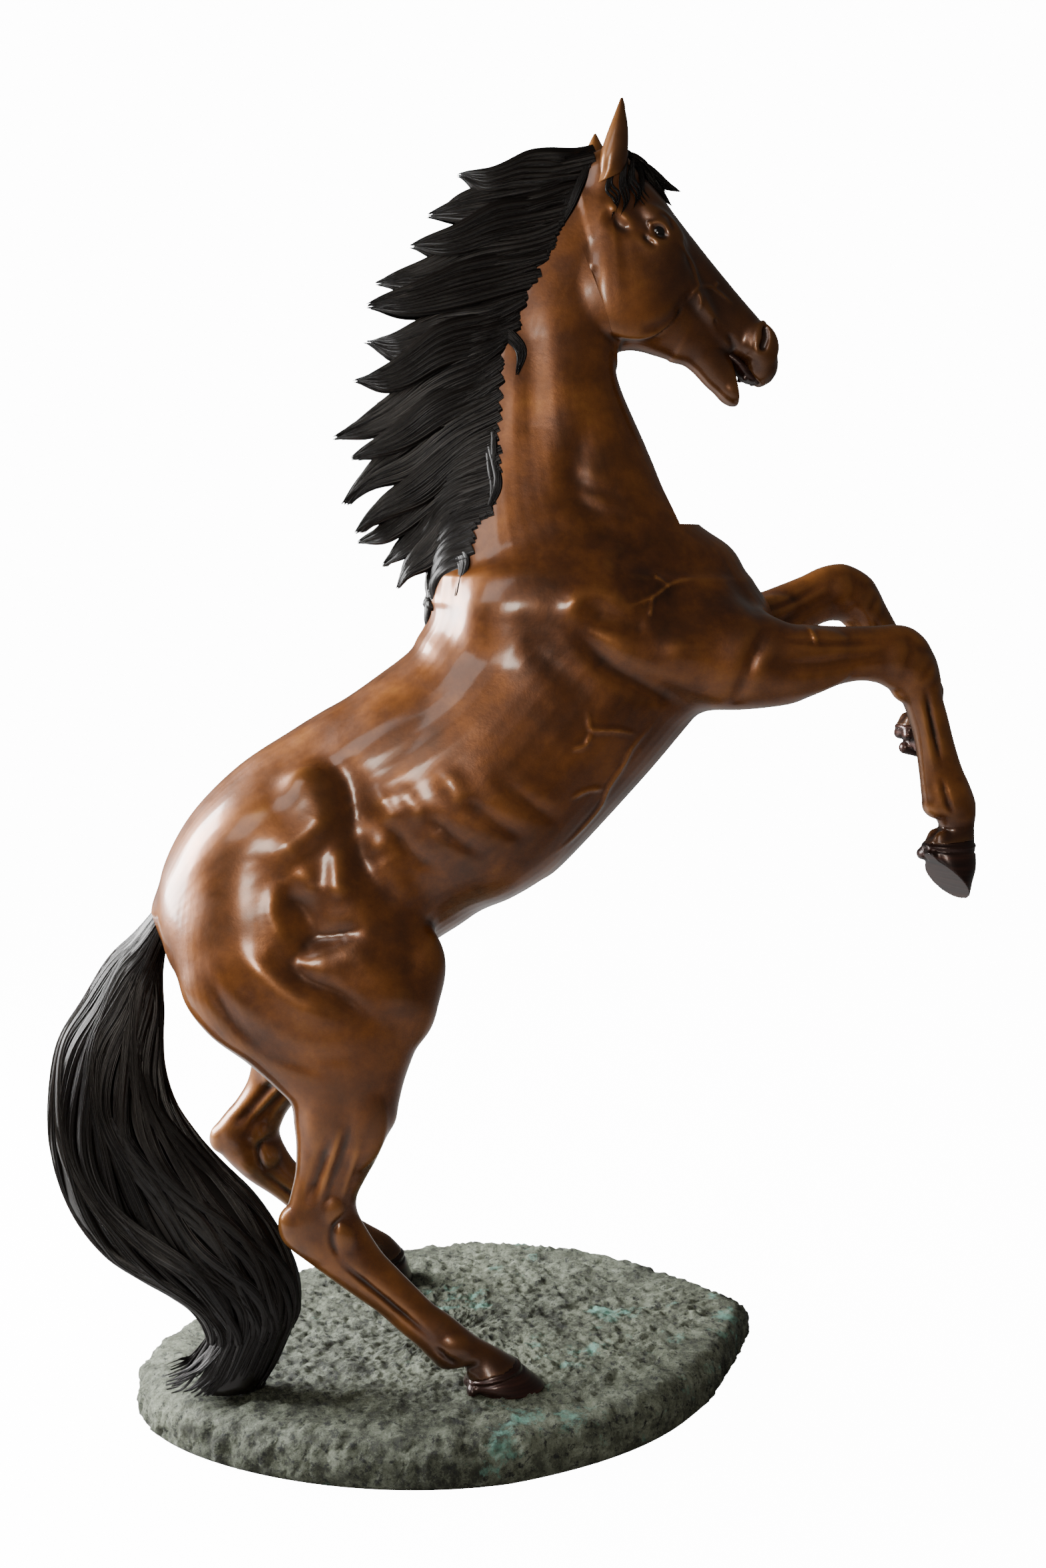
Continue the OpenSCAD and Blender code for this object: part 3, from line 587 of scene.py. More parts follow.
RIGHT_FORE = [(655, 1612, 650, 1446, 66, -165), (700, 1609, 700, 1462, 60, -168),
              (745, 1606, 742, 1481, 53, -170), (803, 1605, 803, 1494, 45, -170),
              (850, 1606, 846, 1490, 42, -170), (885, 1608, 872, 1478, 43, -170),
              (918, 1600, 888, 1468, 43, -170), (946, 1577, 898, 1458, 43, -170),
              (970, 1540, 904, 1450, 40, -170), (982, 1500, 910, 1440, 36, -170),
              (986, 1466, 918, 1420, 33, -170), (1001, 1419, 930, 1386, 30, -170),
              (1017, 1365, 940, 1340, 29, -170), (1035, 1315, 948, 1290, 30, -170),
              (1052, 1280, 953, 1255, 34, -170), (1066, 1245, 960, 1225, 37, -170),
              (1068, 1218, 985, 1207, 35, -170), (1066, 1192, 992, 1182, 32, -170),
              (1066, 1165, 962, 1156, 43, -170)]
LEFT_FORE = [(650, 1660, 690, 1502, 65, 165), (698, 1668, 730, 1528, 60, 168),
             (745, 1684, 780, 1562, 53, 170), (800, 1705, 825, 1590, 45, 170),
             (850, 1727, 862, 1606, 43, 170), (900, 1733, 890, 1607, 43, 170),
             (943, 1712, 913, 1600, 43, 170), (972, 1686, 924, 1590, 42, 170),
             (996, 1644, 938, 1572, 39, 170), (1020, 1604, 958, 1552, 35, 170),
             (1045, 1560, 985, 1520, 31, 170), (1078, 1518, 1008, 1482, 29, 170),
             (1115, 1490, 1020, 1460, 33, 170), (1138, 1461, 1032, 1441, 37, 170),
             (1140, 1434, 1057, 1423, 35, 170), (1138, 1408, 1064, 1398, 32, 170),
             (1138, 1381, 1034, 1372, 43, 170)]


# A leg is its chain of sections, the places in the chain of its weld to the body, its
# hock or knee, the two ends of the cannon, the fetlock, the pastern and the coronet
RIGHT_BACK = (RIGHT_THIGH[:-1] + RIGHT_HIND, (6, 11.8, 14.5, 18, 19.5, 21, 22))
LEFT_BACK = (LEFT_THIGH[:-1] + LEFT_HIND, (6, 11.8, 14.5, 18, 19.5, 21, 22))
RIGHT_FRONT = (RIGHT_ARM[:-1] + RIGHT_FORE, (3, 9.4, 11.6, 15.5, 18, 20, 21))
LEFT_FRONT = (LEFT_ARM[:-1] + LEFT_FORE, (3, 9, 11, 14.4, 16, 18, 19))

# The welds, each a line across the side view
BARREL_SEAM = ((-328, 1397), (-13, 978))
SHOULDER_SEAM = ((-91, 1552), (229, 1118))
NECK_SEAM = ((-18, 1800), (506, 1812))
HEAD_SEAM = ((200, 2486), (335, 2126))
THIGH_SEAM = ((-145, 675), (-352, 680))
ARM_SEAM = ((655, 1612), (650, 1451))


def on_leg(leg, at, across=0.0, out=0.0):
    """A point of a leg: at so many joints along, and across and out in shares of its
    half depth and half width; with the leg's slope there in degrees."""
    chain, marks = leg
    s = float(np.interp(at, range(len(marks)), marks)) if at >= 0 else marks[0] + 3 * at

    def section(s):
        s = min(max(s, 0), len(chain) - 1.001)
        i = int(s)
        return (1 - s + i) * np.array(chain[i][:6], float) + (s - i) * np.array(chain[i + 1][:6], float)

    x1, z1, x2, z2, half, y = section(s)
    before, after = section(s - 0.6), section(s + 0.6)
    way = after[:4] - before[:4]
    slope = -math.degrees(math.atan2(way[1] + way[3], way[0] + way[2]))
    point = ((x1 + x2) / 2 + (x1 - x2) / 2 * across, y + half * out, (z1 + z2) / 2 + (z1 - z2) / 2 * across)
    return point, slope


def knob(clay, leg, at, across, out, radii, k=14.0):
    """A muscle or a bone's end on a leg, or a pair of them if it stands out sideways."""
    for side in ((-1, 1) if out else (0,)):
        point, slope = on_leg(leg, at, across, side * out)
        clay.ball(point, radii, k=k, tilt=slope)


def crease(clay, leg, path, width, rise):
    """A fold, tendon or vein drawn on both faces of a leg."""
    points = [on_leg(leg, at, across)[0] for at, across in path]
    middle = np.mean([p[1] for p in points])
    clay.draw([(p[0], p[2]) for p in points], width, rise, y_range=(middle - 75, middle + 75))


def lay_hind_leg(clay, leg):
    """Gaskin, hock, cannon with its tendons, fetlock and pastern of a hind leg."""
    clay.loft(leg[0], k=46)
    knob(clay, leg, 0.22, 0.42, 0.70, (62, 16, 34), k=22)
    knob(clay, leg, 0.10, -0.38, 0.60, (56, 16, 30), k=22)
    crease(clay, leg, [(0.15, -0.30), (0.5, -0.46), (0.85, -0.50)], 11, -6)
    crease(clay, leg, [(0.0, 0.12), (0.35, 0.02), (0.7, -0.02), (0.95, 0.10)], 9, -3.5)
    crease(clay, leg, [(0.1, -0.10), (0.4, -0.20), (0.8, -0.22)], 7, 3.5)
    crease(clay, leg, [(0.2, 0.30), (0.5, 0.34), (0.9, 0.45)], 7, 2.5)
    knob(clay, leg, 1.0, -0.86, 0, (26, 19, 18))
    knob(clay, leg, 0.93, 0.30, 0.72, (22, 12, 18))
    knob(clay, leg, 1.45, 0.42, 0.66, (24, 12, 18))
    knob(clay, leg, 1.55, -0.40, 0.55, (24, 10, 14))
    crease(clay, leg, [(0.95, 0.72), (1.15, 0.34), (1.5, 0.10), (1.8, -0.10)], 7, -4)
    crease(clay, leg, [(1.7, -0.16), (2.4, -0.16), (3.1, -0.18)], 6, -6)
    knob(clay, leg, 3.85, 0.18, 0.55, (25, 13, 22))
    knob(clay, leg, 4.0, -0.72, 0, (18, 22, 15), k=12)
    crease(clay, leg, [(3.2, -0.30), (3.8, -0.34), (4.4, -0.40)], 6, -4)
    knob(clay, leg, 5.6, -0.66, 0.45, (16, 12, 14), k=10)


def lay_foreleg(clay, leg):
    """Forearm, knee, cannon with its tendons, fetlock and pastern of a foreleg."""
    clay.loft(leg[0], k=46)
    knob(clay, leg, 0.12, 0.40, 0.66, (66, 18, 30), k=24)
    knob(clay, leg, 0.14, -0.42, 0.60, (66, 17, 26), k=24)
    crease(clay, leg, [(-0.2, 0.0), (0.2, -0.08), (0.6, -0.04), (0.85, 0.05)], 14, -3)
    crease(clay, leg, [(-0.1, 0.55), (0.3, 0.46), (0.7, 0.50)], 7, -3)
    knob(clay, leg, 0.98, 0.66, 0, (34, 30, 17))
    knob(clay, leg, 0.82, 0.05, 0.70, (26, 11, 24), k=18)
    knob(clay, leg, 1.35, 0.10, 0.70, (26, 11, 22), k=18)
    knob(clay, leg, 1.10, -0.92, 0, (18, 15, 11), k=10)
    crease(clay, leg, [(0.85, 0.75), (0.90, 0.2), (0.85, -0.3)], 9, -1.5)
    crease(clay, leg, [(1.55, 0.75), (1.50, 0.2), (1.55, -0.3)], 9, -1.5)
    crease(clay, leg, [(1.8, -0.12), (2.4, -0.10), (3.1, -0.12)], 6, -6)
    crease(clay, leg, [(1.9, -0.50), (2.4, -0.50), (3.1, -0.55)], 7, 3)
    knob(clay, leg, 3.8, 0.20, 0.58, (26, 12, 22))
    knob(clay, leg, 4.0, -0.70, 0, (19, 22, 14), k=12)
    crease(clay, leg, [(3.2, -0.26), (3.8, -0.28), (4.4, -0.38)], 6, -4)
    knob(clay, leg, 5.6, -0.66, 0.45, (16, 12, 14), k=10)


def lay_trunk(clay):
    """The rough body: sections, thighs, arms and the big muscles on both sides."""
    clay.loft(TRUNK, k=1)
    clay.loft(NECK, k=40)
    # gluteal muscle, point of hip, loin and the root of the tail
    clay.pair((-400, 105, 1165), (150, 92, 112), k=50, tilt=-40)
    clay.pair((-292, 148, 1262), (46, 32, 70), k=46, tilt=-25)
    clay.pair((-165, 90, 1370), (130, 60, 60), k=40, tilt=-38)
    clay.ball((-570, 0, 1020), (40, 36, 46), k=40)
    # buttock, thigh, stifle and gaskin
    for leg in (RIGHT_BACK, LEFT_BACK):
        lay_hind_leg(clay, leg)
    clay.pair((-190, 172, 1000), (105, 56, 150), k=46, tilt=-18)
    clay.pair((-112, 190, 862), (44, 36, 60), k=40)
    clay.pair((-396, 150, 960), (114, 76, 176), k=50, tilt=-18)
    clay.pair((-80, 175, 945), (36, 38, 56), k=40)
    # barrel
    clay.pair((40, 118, 1230), (170, 96, 150), k=50, tilt=-45)
    # shoulder blade, point of shoulder, breast and upper arm
    for leg in (RIGHT_FRONT, LEFT_FRONT):
        lay_foreleg(clay, leg)
    clay.pair((200, 112, 1640), (190, 72, 110), k=50, tilt=-6)
    clay.pair((340, 136, 1560), (150, 64, 78), k=45, tilt=16)
    clay.pair((548, 70, 1610), (82, 68, 58), k=45, tilt=30)
    clay.pair((560, 140, 1555), (90, 58, 78), k=45)


# Folds, ridges, ribs and veins of the body, drawn alike on both sides: the path, the
# width, the rise, and False where the ends stay as high as the middle
TRUNK_LINES = (
    # groove behind the flank, hip and stifle with their hollows, and the long thigh muscle
    ([(-232, 1360), (-222, 1269), (-211, 1200), (-203, 1140), (-174, 1094), (-134, 1047),
      (-70, 990)], 34, -15),
    ([(-270, 1290), (-290, 1233), (-344, 1190), (-385, 1145)], 28, 7),
    ([(-316, 1128), (-314, 1112)], 26, 6, False),
    ([(-252, 1165), (-256, 1115)], 25, 7, False),
    ([(-332, 1080), (-308, 1036)], 28, -8, False),
    ([(-362, 1130), (-380, 1067), (-352, 995)], 18, 4),
    ([(-356, 962), (-308, 1005), (-200, 1030)], 17, -8),
    ([(-279, 972), (-220, 970), (-150, 905)], 40, 9, False),
    ([(-390, 1000), (-328, 941), (-260, 908), (-180, 838)], 19, -8),
    ([(-470, 1010), (-400, 950), (-335, 897), (-250, 850)], 26, 6),
    ([(-545, 1010), (-456, 869), (-330, 792), (-215, 792)], 18, -5),
    ([(-510, 925), (-408, 806), (-255, 745)], 15, -4),
    # ribs and the ends of the ribs at the flank
    ([(-204, 1213), (-188, 1189)], 24, 5, False),
    ([(-166, 1269), (-150, 1245)], 24, 5, False),
    ([(-120, 1276), (-104, 1252)], 24, 5, False),
    ([(-37, 1309), (-21, 1285)], 24, 5, False),
    ([(-165, 1240), (-100, 1163), (-40, 1136)], 17, -5),
    ([(-94, 1257), (-20, 1196), (45, 1160)], 17, -5),
    ([(-30, 1292), (60, 1224), (130, 1190)], 17, -5),
    ([(40, 1330), (130, 1255), (200, 1220)], 17, -5),
    # shoulder blade and upper arm, the groove under them and the fold of the elbow
    ([(200, 1600), (214, 1659), (265, 1674), (345, 1642)], 22, 9),
    ([(265, 1624), (335, 1604)], 22, -6, False),
    ([(425, 1562), (450, 1556)], 42, 9, False),
    ([(195, 1620), (274, 1539), (350, 1497), (500, 1432)], 24, -13),
    ([(100, 1640), (150, 1560), (210, 1500), (290, 1450)], 30, -5),
    ([(612, 1620), (568, 1553), (547, 1489), (528, 1430)], 16, -6),
    ([(545, 1725), (582, 1658), (598, 1606)], 20, -5),
    # neck: muscles above the windpipe and folds over the shoulder
    ([(205, 1905), (270, 1880), (350, 1845)], 18, -4),
    ([(170, 1865), (273, 1839), (385, 1805)], 18, -4),
    ([(345, 1790), (300, 1750), (270, 1700)], 26, 5),
    ([(300, 2070), (250, 1980), (235, 1880), (300, 1790), (400, 1730)], 26, -6),
    ([(120, 2290), (150, 2150), (150, 2000), (120, 1880)], 32, -6),
    # veins of the shoulder, the ribs and the belly
    ([(478, 1704), (416, 1690), (373, 1664), (312, 1643)], 4.6, 4),
    ([(373, 1664), (366, 1632)], 4, 3, False),
    ([(410, 1688), (386, 1704)], 4, 3, False),
    ([(237, 1450), (241, 1424), (248, 1406), (300, 1402), (348, 1392)], 4.6, 4),
    ([(250, 1408), (234, 1377), (200, 1366)], 4.6, 4),
    ([(385, 1420), (339, 1371), (318, 1329), (290, 1286), (274, 1244), (225, 1190), (165, 1148)], 5, 5),
    ([(285, 1284), (242, 1284), (200, 1266)], 4.6, 4),
    ([(684, 1612), (700, 1566)], 5, 3),
)


def draw_trunk(clay):
    """Draws all the body's lines on the clay."""
    for line in TRUNK_LINES:
        clay.draw(*line)


# The head is laid out from the poll: u runs down the face to the nose, v from the jaw
# to the forehead, and w to the horse's left.
POLL = (265, 2545)
FACE_SLOPE = 47.0
fall, rise = math.sin(math.radians(FACE_SLOPE)), math.cos(math.radians(FACE_SLOPE))


def on_head(u, v, w=0.0):
    """A point of the head in the horse's own frame."""
    return (POLL[0] + rise * u + fall * v, w, POLL[1] - fall * u + rise * v)


def on_face(*points):
    """A path in the side view through u, v points of the head."""
    return [on_head(u, v)[::2] for u, v in points]


HEAD = [(235, 2530, 334, 2130, 66, 0, 0.05), (275, 2543, 332, 2136, 74, 0, 0.1),
        (321, 2541, 330, 2143, 80, 0, 0.12), (377, 2511, 332, 2150, 86, 0, 0.14),
        (421, 2470, 340, 2157, 88, 0, 0.14), (456, 2428, 352, 2161, 84, 0, 0.08),
        (491, 2387, 372, 2163, 75, 0, 0.0), (524, 2349, 395, 2160, 63, 0, -0.04),
        (558, 2312, 425, 2152, 53, 0, -0.04), (592, 2276, 465, 2143, 47, 0, 0),
        (618, 2250, 510, 2150, 43, 0, 0.05), (641, 2226, 556, 2158, 43, 0, 0.05),
        (657, 2204, 586, 2152, 46, 0, 0), (669, 2185, 608, 2140, 47, 0, 0),
        (675, 2160, 624, 2124, 43, 0, -0.1), (674, 2132, 632, 2108, 34, 0, -0.1),
        (661, 2110, 640, 2101, 18, 0, 0)]
JAW = [(500, 2238, 455, 2145, 40, 0), (530, 2205, 482, 2135, 39, 0), (556, 2178, 504, 2119, 37, 0),
       (576, 2156, 528, 2095, 35, 0), (592, 2130, 547, 2080, 34, 0), (604, 2110, 562, 2071, 33, 0),
       (616, 2096, 582, 2066, 28, 0), (620, 2084, 600, 2064, 16, 0)]


def lay_head(clay):
    """Skull, cheeks, brows, muzzle and lower jaw."""
    clay.loft(HEAD, k=18, sides=64)
    clay.loft(JAW, k=14)
    # round cheek, its front edge, and the crest that runs from under the eye
    clay.pair(on_head(262, -112, 64), (102, 27, 100), k=22, tilt=FACE_SLOPE)
    clay.pair(on_head(232, -14, 66), (44, 20, 34), k=30, tilt=FACE_SLOPE)
    clay.pair(on_head(330, -22, 52), (80, 12, 12), k=22, tilt=FACE_SLOPE + 4)
    # nasal bone, forehead and the ear muscles
    clay.ball(on_head(330, 23, 0), (190, 26, 22), k=30, tilt=FACE_SLOPE)
    clay.pair(on_head(66, 8, 50), (46, 24, 40), k=30, tilt=FACE_SLOPE)
    # nostril wing, upper lip and chin
    clay.pair(on_head(522, 22, 40), (40, 14, 30), k=20, tilt=FACE_SLOPE + 30)
    clay.ball(on_head(560, -10, 0), (30, 34, 36), k=20, tilt=FACE_SLOPE)
    clay.ball(on_head(557, -88, 0), (26, 30, 20), k=16, tilt=FACE_SLOPE)


def draw_head(clay):
    """Eye sockets, lids, nostrils, mouth, folds and veins of the head."""
    # hollow over the eye, the socket and the arch behind it
    clay.pair(on_head(150, 4, 96), (40, 9, 24), k=40, tilt=FACE_SLOPE + 10, carve=True)
    clay.pair(on_head(206, 12, 72), (42, 10, 14), k=22, tilt=FACE_SLOPE - 8)
    clay.pair(on_head(214, -8, 98), (19, 14, 12), k=8, tilt=FACE_SLOPE, carve=True)
    for w in (-1, 1):
        lid = [on_head(190, -12, w * 80), on_head(200, 3, w * 84), on_head(214, 8, w * 84),
               on_head(229, 2, w * 80), on_head(238, -12, w * 75)]
        clay.rope(curve_through(lid, 5), 4.0, k=6)
        lower = [on_head(190, -12, w * 80), on_head(204, -21, w * 82), on_head(220, -22, w * 80),
                 on_head(238, -12, w * 75)]
        clay.rope(curve_through(lower, 5), 2.4, k=6)
    clay.draw([(276, 2370), (270, 2291), (287, 2214), (326, 2158)], 13, -3)
    clay.draw(on_face((182, 14), (205, 24), (236, 14)), 6, -4)
    clay.draw(on_face((190, -34), (212, -40), (234, -32)), 7, -3)
    clay.draw(on_face((96, -48), (140, -40), (176, -34)), 10, 3.5)
    clay.draw(on_face((110, -66), (150, -62), (186, -52)), 12, -4)
    # front edge of the cheek
    clay.draw(on_face((334, -40), (352, -80), (352, -124), (330, -170)),
              11, -7)
    clay.draw(on_face((170, -150), (196, -190), (250, -214)), 14, -5)
    # nostrils, lips and the fold at the corner of the mouth
    for w in (-1, 1):
        hole = [on_head(500, 42, w * 50), on_head(514, 30, w * 55), on_head(524, 12, w * 56)]
        clay.rope(curve_through(hole, 5), 8.5, k=6, carve=True)
        rim = [on_head(492, 50, w * 36), on_head(494, 34, w * 45), on_head(505, 14, w * 49),
               on_head(524, -2, w * 48), on_head(538, 6, w * 45)]
        clay.rope(curve_through(rim, 5), 5.0, k=6)
    clay.draw(on_face((452, -22), (480, -26), (500, -34)), 7, -4)
    clay.draw(on_face((504, -26), (526, -22), (552, -30)), 7, 3)
    # veins of the face
    for vein in ([(440, 2372), (478, 2330), (491, 2292), (490, 2281), (462, 2246)],
                 [(491, 2282), (520, 2286), (540, 2277), (577, 2250)], [(530, 2286), (540, 2298)],
                 [(490, 2280), (497, 2256), (496, 2234)]):
        clay.draw(vein, 4.5, 3.2)


body_clay = Clay((-640, -290, 560), (830, 290, 2600), 3.6)
lay_trunk(body_clay)
lay_head(body_clay)
draw_trunk(body_clay)
body_skin = body_clay.skin(4)

for name, node, seams in (
        ("hindquarters", "hindquarters_casting", [seam(*BARREL_SEAM, (-400, 1000)),
                                                  seam(*THIGH_SEAM, (-300, 900))]),
        ("barrel", "barrel_casting", [seam(*BARREL_SEAM, (0, 1300)), seam(*SHOULDER_SEAM, (0, 1200))]),
        ("shoulders", "shoulder_casting", [seam(*SHOULDER_SEAM, (300, 1500)), seam(*NECK_SEAM, (200, 1500)),
                                           seam(*ARM_SEAM, (300, 1500))]),
        ("neck", "neck_casting", [seam(*NECK_SEAM, (200, 2000)), seam(*HEAD_SEAM, (150, 2100))])):
    made = part_casting(name, body_skin, seams, body_bronze)
    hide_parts(node)

# ---------------------------------------------------------------- legs
# Each leg is cast in two lengths below the body, welded at the hock or knee, and its
# hoof is a third casting with its own dark patina.
HOOVES = {
    "right_hind": [(112, 122, -12, 104, 54, -265), (142, 95, 0, 95, 58, -266), (150, 70, 8, 70, 60, -266)],
    "left_hind": [(-76, 142, -194, 108, 54, 285), (-60, 95, -192, 95, 58, 286), (-50, 70, -190, 70, 60, 286)],
    "right_fore": [(1070, 1110, 963, 1134, 54, -170), (1060, 1066, 970, 1120, 57, -170),
                   (1048, 1004, 970, 1098, 59, -170)],
    "left_fore": [(1146, 1340, 1046, 1356, 54, 170), (1148, 1300, 1055, 1338, 56, 170),
                  (1148, 1250, 1060, 1296, 58, 170)]}
SOLES = {"right_hind": ((142, 95), (0, 95)), "left_hind": ((-60, 95), (-192, 95)),
         "right_fore": ((1040, 1040), (966, 1112)), "left_fore": ((1143, 1276), (1053, 1322))}


def lay_hoof(clay, chain, sole):
    """Coronet, hoof wall and bulbs of the heel."""
    clay.loft(chain, k=3, power=2.1)
    rings = section_rings(chain[1:3], 40, 8)
    for ring, thick, carve in ((rings[2], 2.2, False), (rings[4], 1.2, True)):
        clay.rope(np.vstack([ring, ring[:1]]), thick, k=5, carve=carve)
    bulb = section_rings(chain[2:4], 40, 8)[2][20]
    for w in (-22, 22):
        clay.ball((bulb[0], bulb[1] + w, bulb[2]), (10, 16, 12), k=12)


def cut_flat(clay, a, b, keep, pivot, lean):
    """Slices the clay flat along a line of the side view. The cut leans in degrees
    about that line, drawn at the y of the pivot, so that the sole shows."""
    at, way = seam(a, b, keep)
    at = 1000 * at
    x, y, z = clay.axes[0][:, None, None], clay.axes[1][None, :, None], clay.axes[2][None, None, :]
    side = (x - at[0]) * way[0] + (z - at[2]) * way[2]
    side = side * math.cos(math.radians(lean)) + (y - pivot) * math.sin(math.radians(lean))
    clay.d = np.maximum(clay.d, (-side).astype(np.float32))


def hollow_sole(clay, toe, heel, y):
    """The concave sole, and the frog with its two grooves."""
    toe, heel = np.array([toe[0], y, toe[1]], float), np.array([heel[0], y, heel[1]], float)
    run = heel - toe
    across = np.array([0, 1, 0])
    clay.ball(toe + 0.46 * run, (52, 42, 7), k=5, tilt=-math.degrees(math.atan2(run[2], run[0])), carve=True)
    clay.rope([toe + 0.42 * run, toe + 0.72 * run, toe + 0.97 * run], (3, 9, 15), k=5)
    for w in (-1, 1):
        groove = [toe + 0.44 * run + w * 6 * across, toe + 0.96 * run + w * 24 * across]
        clay.rope(groove, (3, 5), k=4, carve=True)


SOLE_LEAN = {"right_fore": 13}    # this raised hoof turns its sole a little to the right


def cast_leg(name, leg, is_fore, joint_seam, box, shade):
    """The two lengths of a leg and its hoof. The left fore hoof's sole is hollowed, and
    the others are cut flat."""
    clay = Clay(*box, 2.8)
    lay_trunk(clay)
    draw_trunk(clay)
    skin = clay.skin(4)
    chain = leg[0]
    foot = chain[-1]
    coronet = ((foot[0], foot[1]), (foot[2], foot[3]))
    above = tuple((np.array(chain[-3][:2]) + np.array(chain[-3][2:4])) / 2)
    root = (ARM_SEAM, (900, 1540)) if is_fore else (THIGH_SEAM, (-250, 500))
    names = (name.replace("fore", "forearm").replace("hind", "gaskin"), name + "_cannon")
    for piece, ends in ((names[0], [seam(*root[0], root[1]), seam(*joint_seam, root[1])]),
                        (names[1], [seam(*joint_seam, above), seam(*coronet, above)])):
        made = part_casting(piece, skin, ends, body_bronze, shade)
        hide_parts(piece)
    y = HOOVES[name][0][5]
    sections = chain[-2:] + HOOVES[name]
    xs = [s[0] for s in sections] + [s[2] for s in sections]
    zs = [s[1] for s in sections] + [s[3] for s in sections]
    clay = Clay((min(xs) - 30, y - 90, min(zs) - 30), (max(xs) + 30, y + 90, max(zs) + 30), 2.0)
    lay_hoof(clay, sections, SOLES[name])
    toe, heel = SOLES[name]
    cut_flat(clay, toe, heel, coronet[0], y + 30, SOLE_LEAN.get(name, 0))
    if name == "left_fore":
        hollow_sole(clay, toe, heel, y)
    sole_middle = ((toe[0] + heel[0]) / 2, (toe[1] + heel[1]) / 2)
    hoof = part_casting(name + "_hoof", clay.skin(1), [seam(*coronet, sole_middle)], hoof_bronze)
    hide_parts(name + "_hoof")


cast_leg("right_hind", RIGHT_BACK, False, ((-226, 465), (-375, 440)),
         ((-470, -310, 70), (150, -120, 760)), ((0, 250), (0, 145), 0.8))
cast_leg("left_hind", LEFT_BACK, False, ((-362, 482), (-508, 470)),
         ((-560, 120, 80), (-40, 340, 760)), ((0, 260), (0, 150), 0.8))
cast_leg("right_fore", RIGHT_FRONT, True, ((970, 1540), (904, 1450)),
         ((600, -270, 1120), (1110, -60, 1680)), ((0, 1235), (0, 1150), 0.8))
cast_leg("left_fore", LEFT_FRONT, True, ((996, 1644), (938, 1572)),
         ((600, 60, 1340), (1190, 270, 1790)), ((0, 1480), (0, 1390), 0.8))

# ---------------------------------------------------------------- head
# Skull and lower jaw are two castings welded behind the corner of the mouth; the eyes
# are polished balls let into the sockets, and teeth and tongue are one dark casting.
head_clay = Clay((150, -125, 2030), (710, 125, 2600), 2.1)
lay_trunk(head_clay)
lay_head(head_clay)
draw_trunk(head_clay)
draw_head(head_clay)
# the open mouth: a wedge of air from its corner, under the lip and over the jaw
MOUTH_CORNER = 498
cut, x, y, z = head_clay.part((560, -80, 2000), (720, 80, 2170))
u = (x - POLL[0]) * rise - (z - POLL[1]) * fall
v = (x - POLL[0]) * fall + (z - POLL[1]) * rise
upper = v + 35 - 0.02 * (u - MOUTH_CORNER)
lower = -(v + 39 + 0.62 * (u - MOUTH_CORNER))
gap = np.maximum(np.maximum(upper, lower), MOUTH_CORNER - 2 - u)
head_clay.lay(cut, gap.astype(np.float32) + 0 * y, 5, carve=True)
head_skin = head_clay.skin()
jaw_front = seam(*on_face((498, 0), (498, -60), (540, -50)))
jaw_top = seam(*on_face((498, -38), (560, -50), (540, -100)))
face_shade = ((300, 2300), (450, 2360), 0.62)
for name, node, inside in (("skull", "head_casting", False), ("lower_jaw", "lower_jaw_casting", True)):
    made = part_casting(name, head_skin, [seam(*HEAD_SEAM, (500, 2300))], body_bronze, face_shade,
                        wedge=(jaw_front, jaw_top, inside))
    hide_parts(node)


def face_outwards(mesh):
    """Turns the faces of closed shells to point out."""
    block = bmesh.new()
    block.from_mesh(mesh)
    bmesh.ops.recalc_face_normals(block, faces=block.faces[:])
    block.to_mesh(mesh)
    block.free()


def ball_piece(name, at, radius, material, rings=20):
    """A closed ball of quads with its poles along Y."""
    a = (math.pi * np.arange(1, rings) / rings)[:, None]
    b = (math.pi * np.arange(2 * rings) / rings)[None, :]
    around = [at[0] + radius * np.sin(a) * np.cos(b), at[1] + radius * np.cos(a) + 0 * b,
              at[2] + radius * np.sin(a) * np.sin(b)]
    verts, quads, tris = tube(np.stack(around, 2))
    verts[-2:] = [(at[0], at[1] + radius, at[2]), (at[0], at[1] - radius, at[2])]
    made = make_object(name, verts / 1000, quads.tolist() + tris.tolist(), material)
    face_outwards(made.data)
    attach(made, "root")
    return made


for side, w in (("right", -1), ("left", 1)):
    eye = ball_piece(side + "_eye", on_head(215, -8, w * 68), 20, eye_bronze)

# tongue and teeth
mouth_clay = Clay((540, -50, 2070), (670, 50, 2190), 1.6)
mouth_clay.loft([(582, 2166, 560, 2150, 22, 0), (600, 2148, 582, 2134, 27, 0), (620, 2130, 598, 2114, 28, 0),
                 (636, 2112, 612, 2103, 24, 0), (640, 2104, 624, 2099, 14, 0)], k=1)
for i in range(6):
    w = -20 + 8 * i
    mouth_clay.ball((638 - 0.012 * w * w, w, 2107), (7, 4, 9), k=2, tilt=20)
    mouth_clay.ball((612 - 0.012 * w * w, w, 2112), (6, 4, 8), k=2, tilt=40)
mouth = part_casting("teeth_and_tongue", mouth_clay.skin(1), [], hoof_bronze)

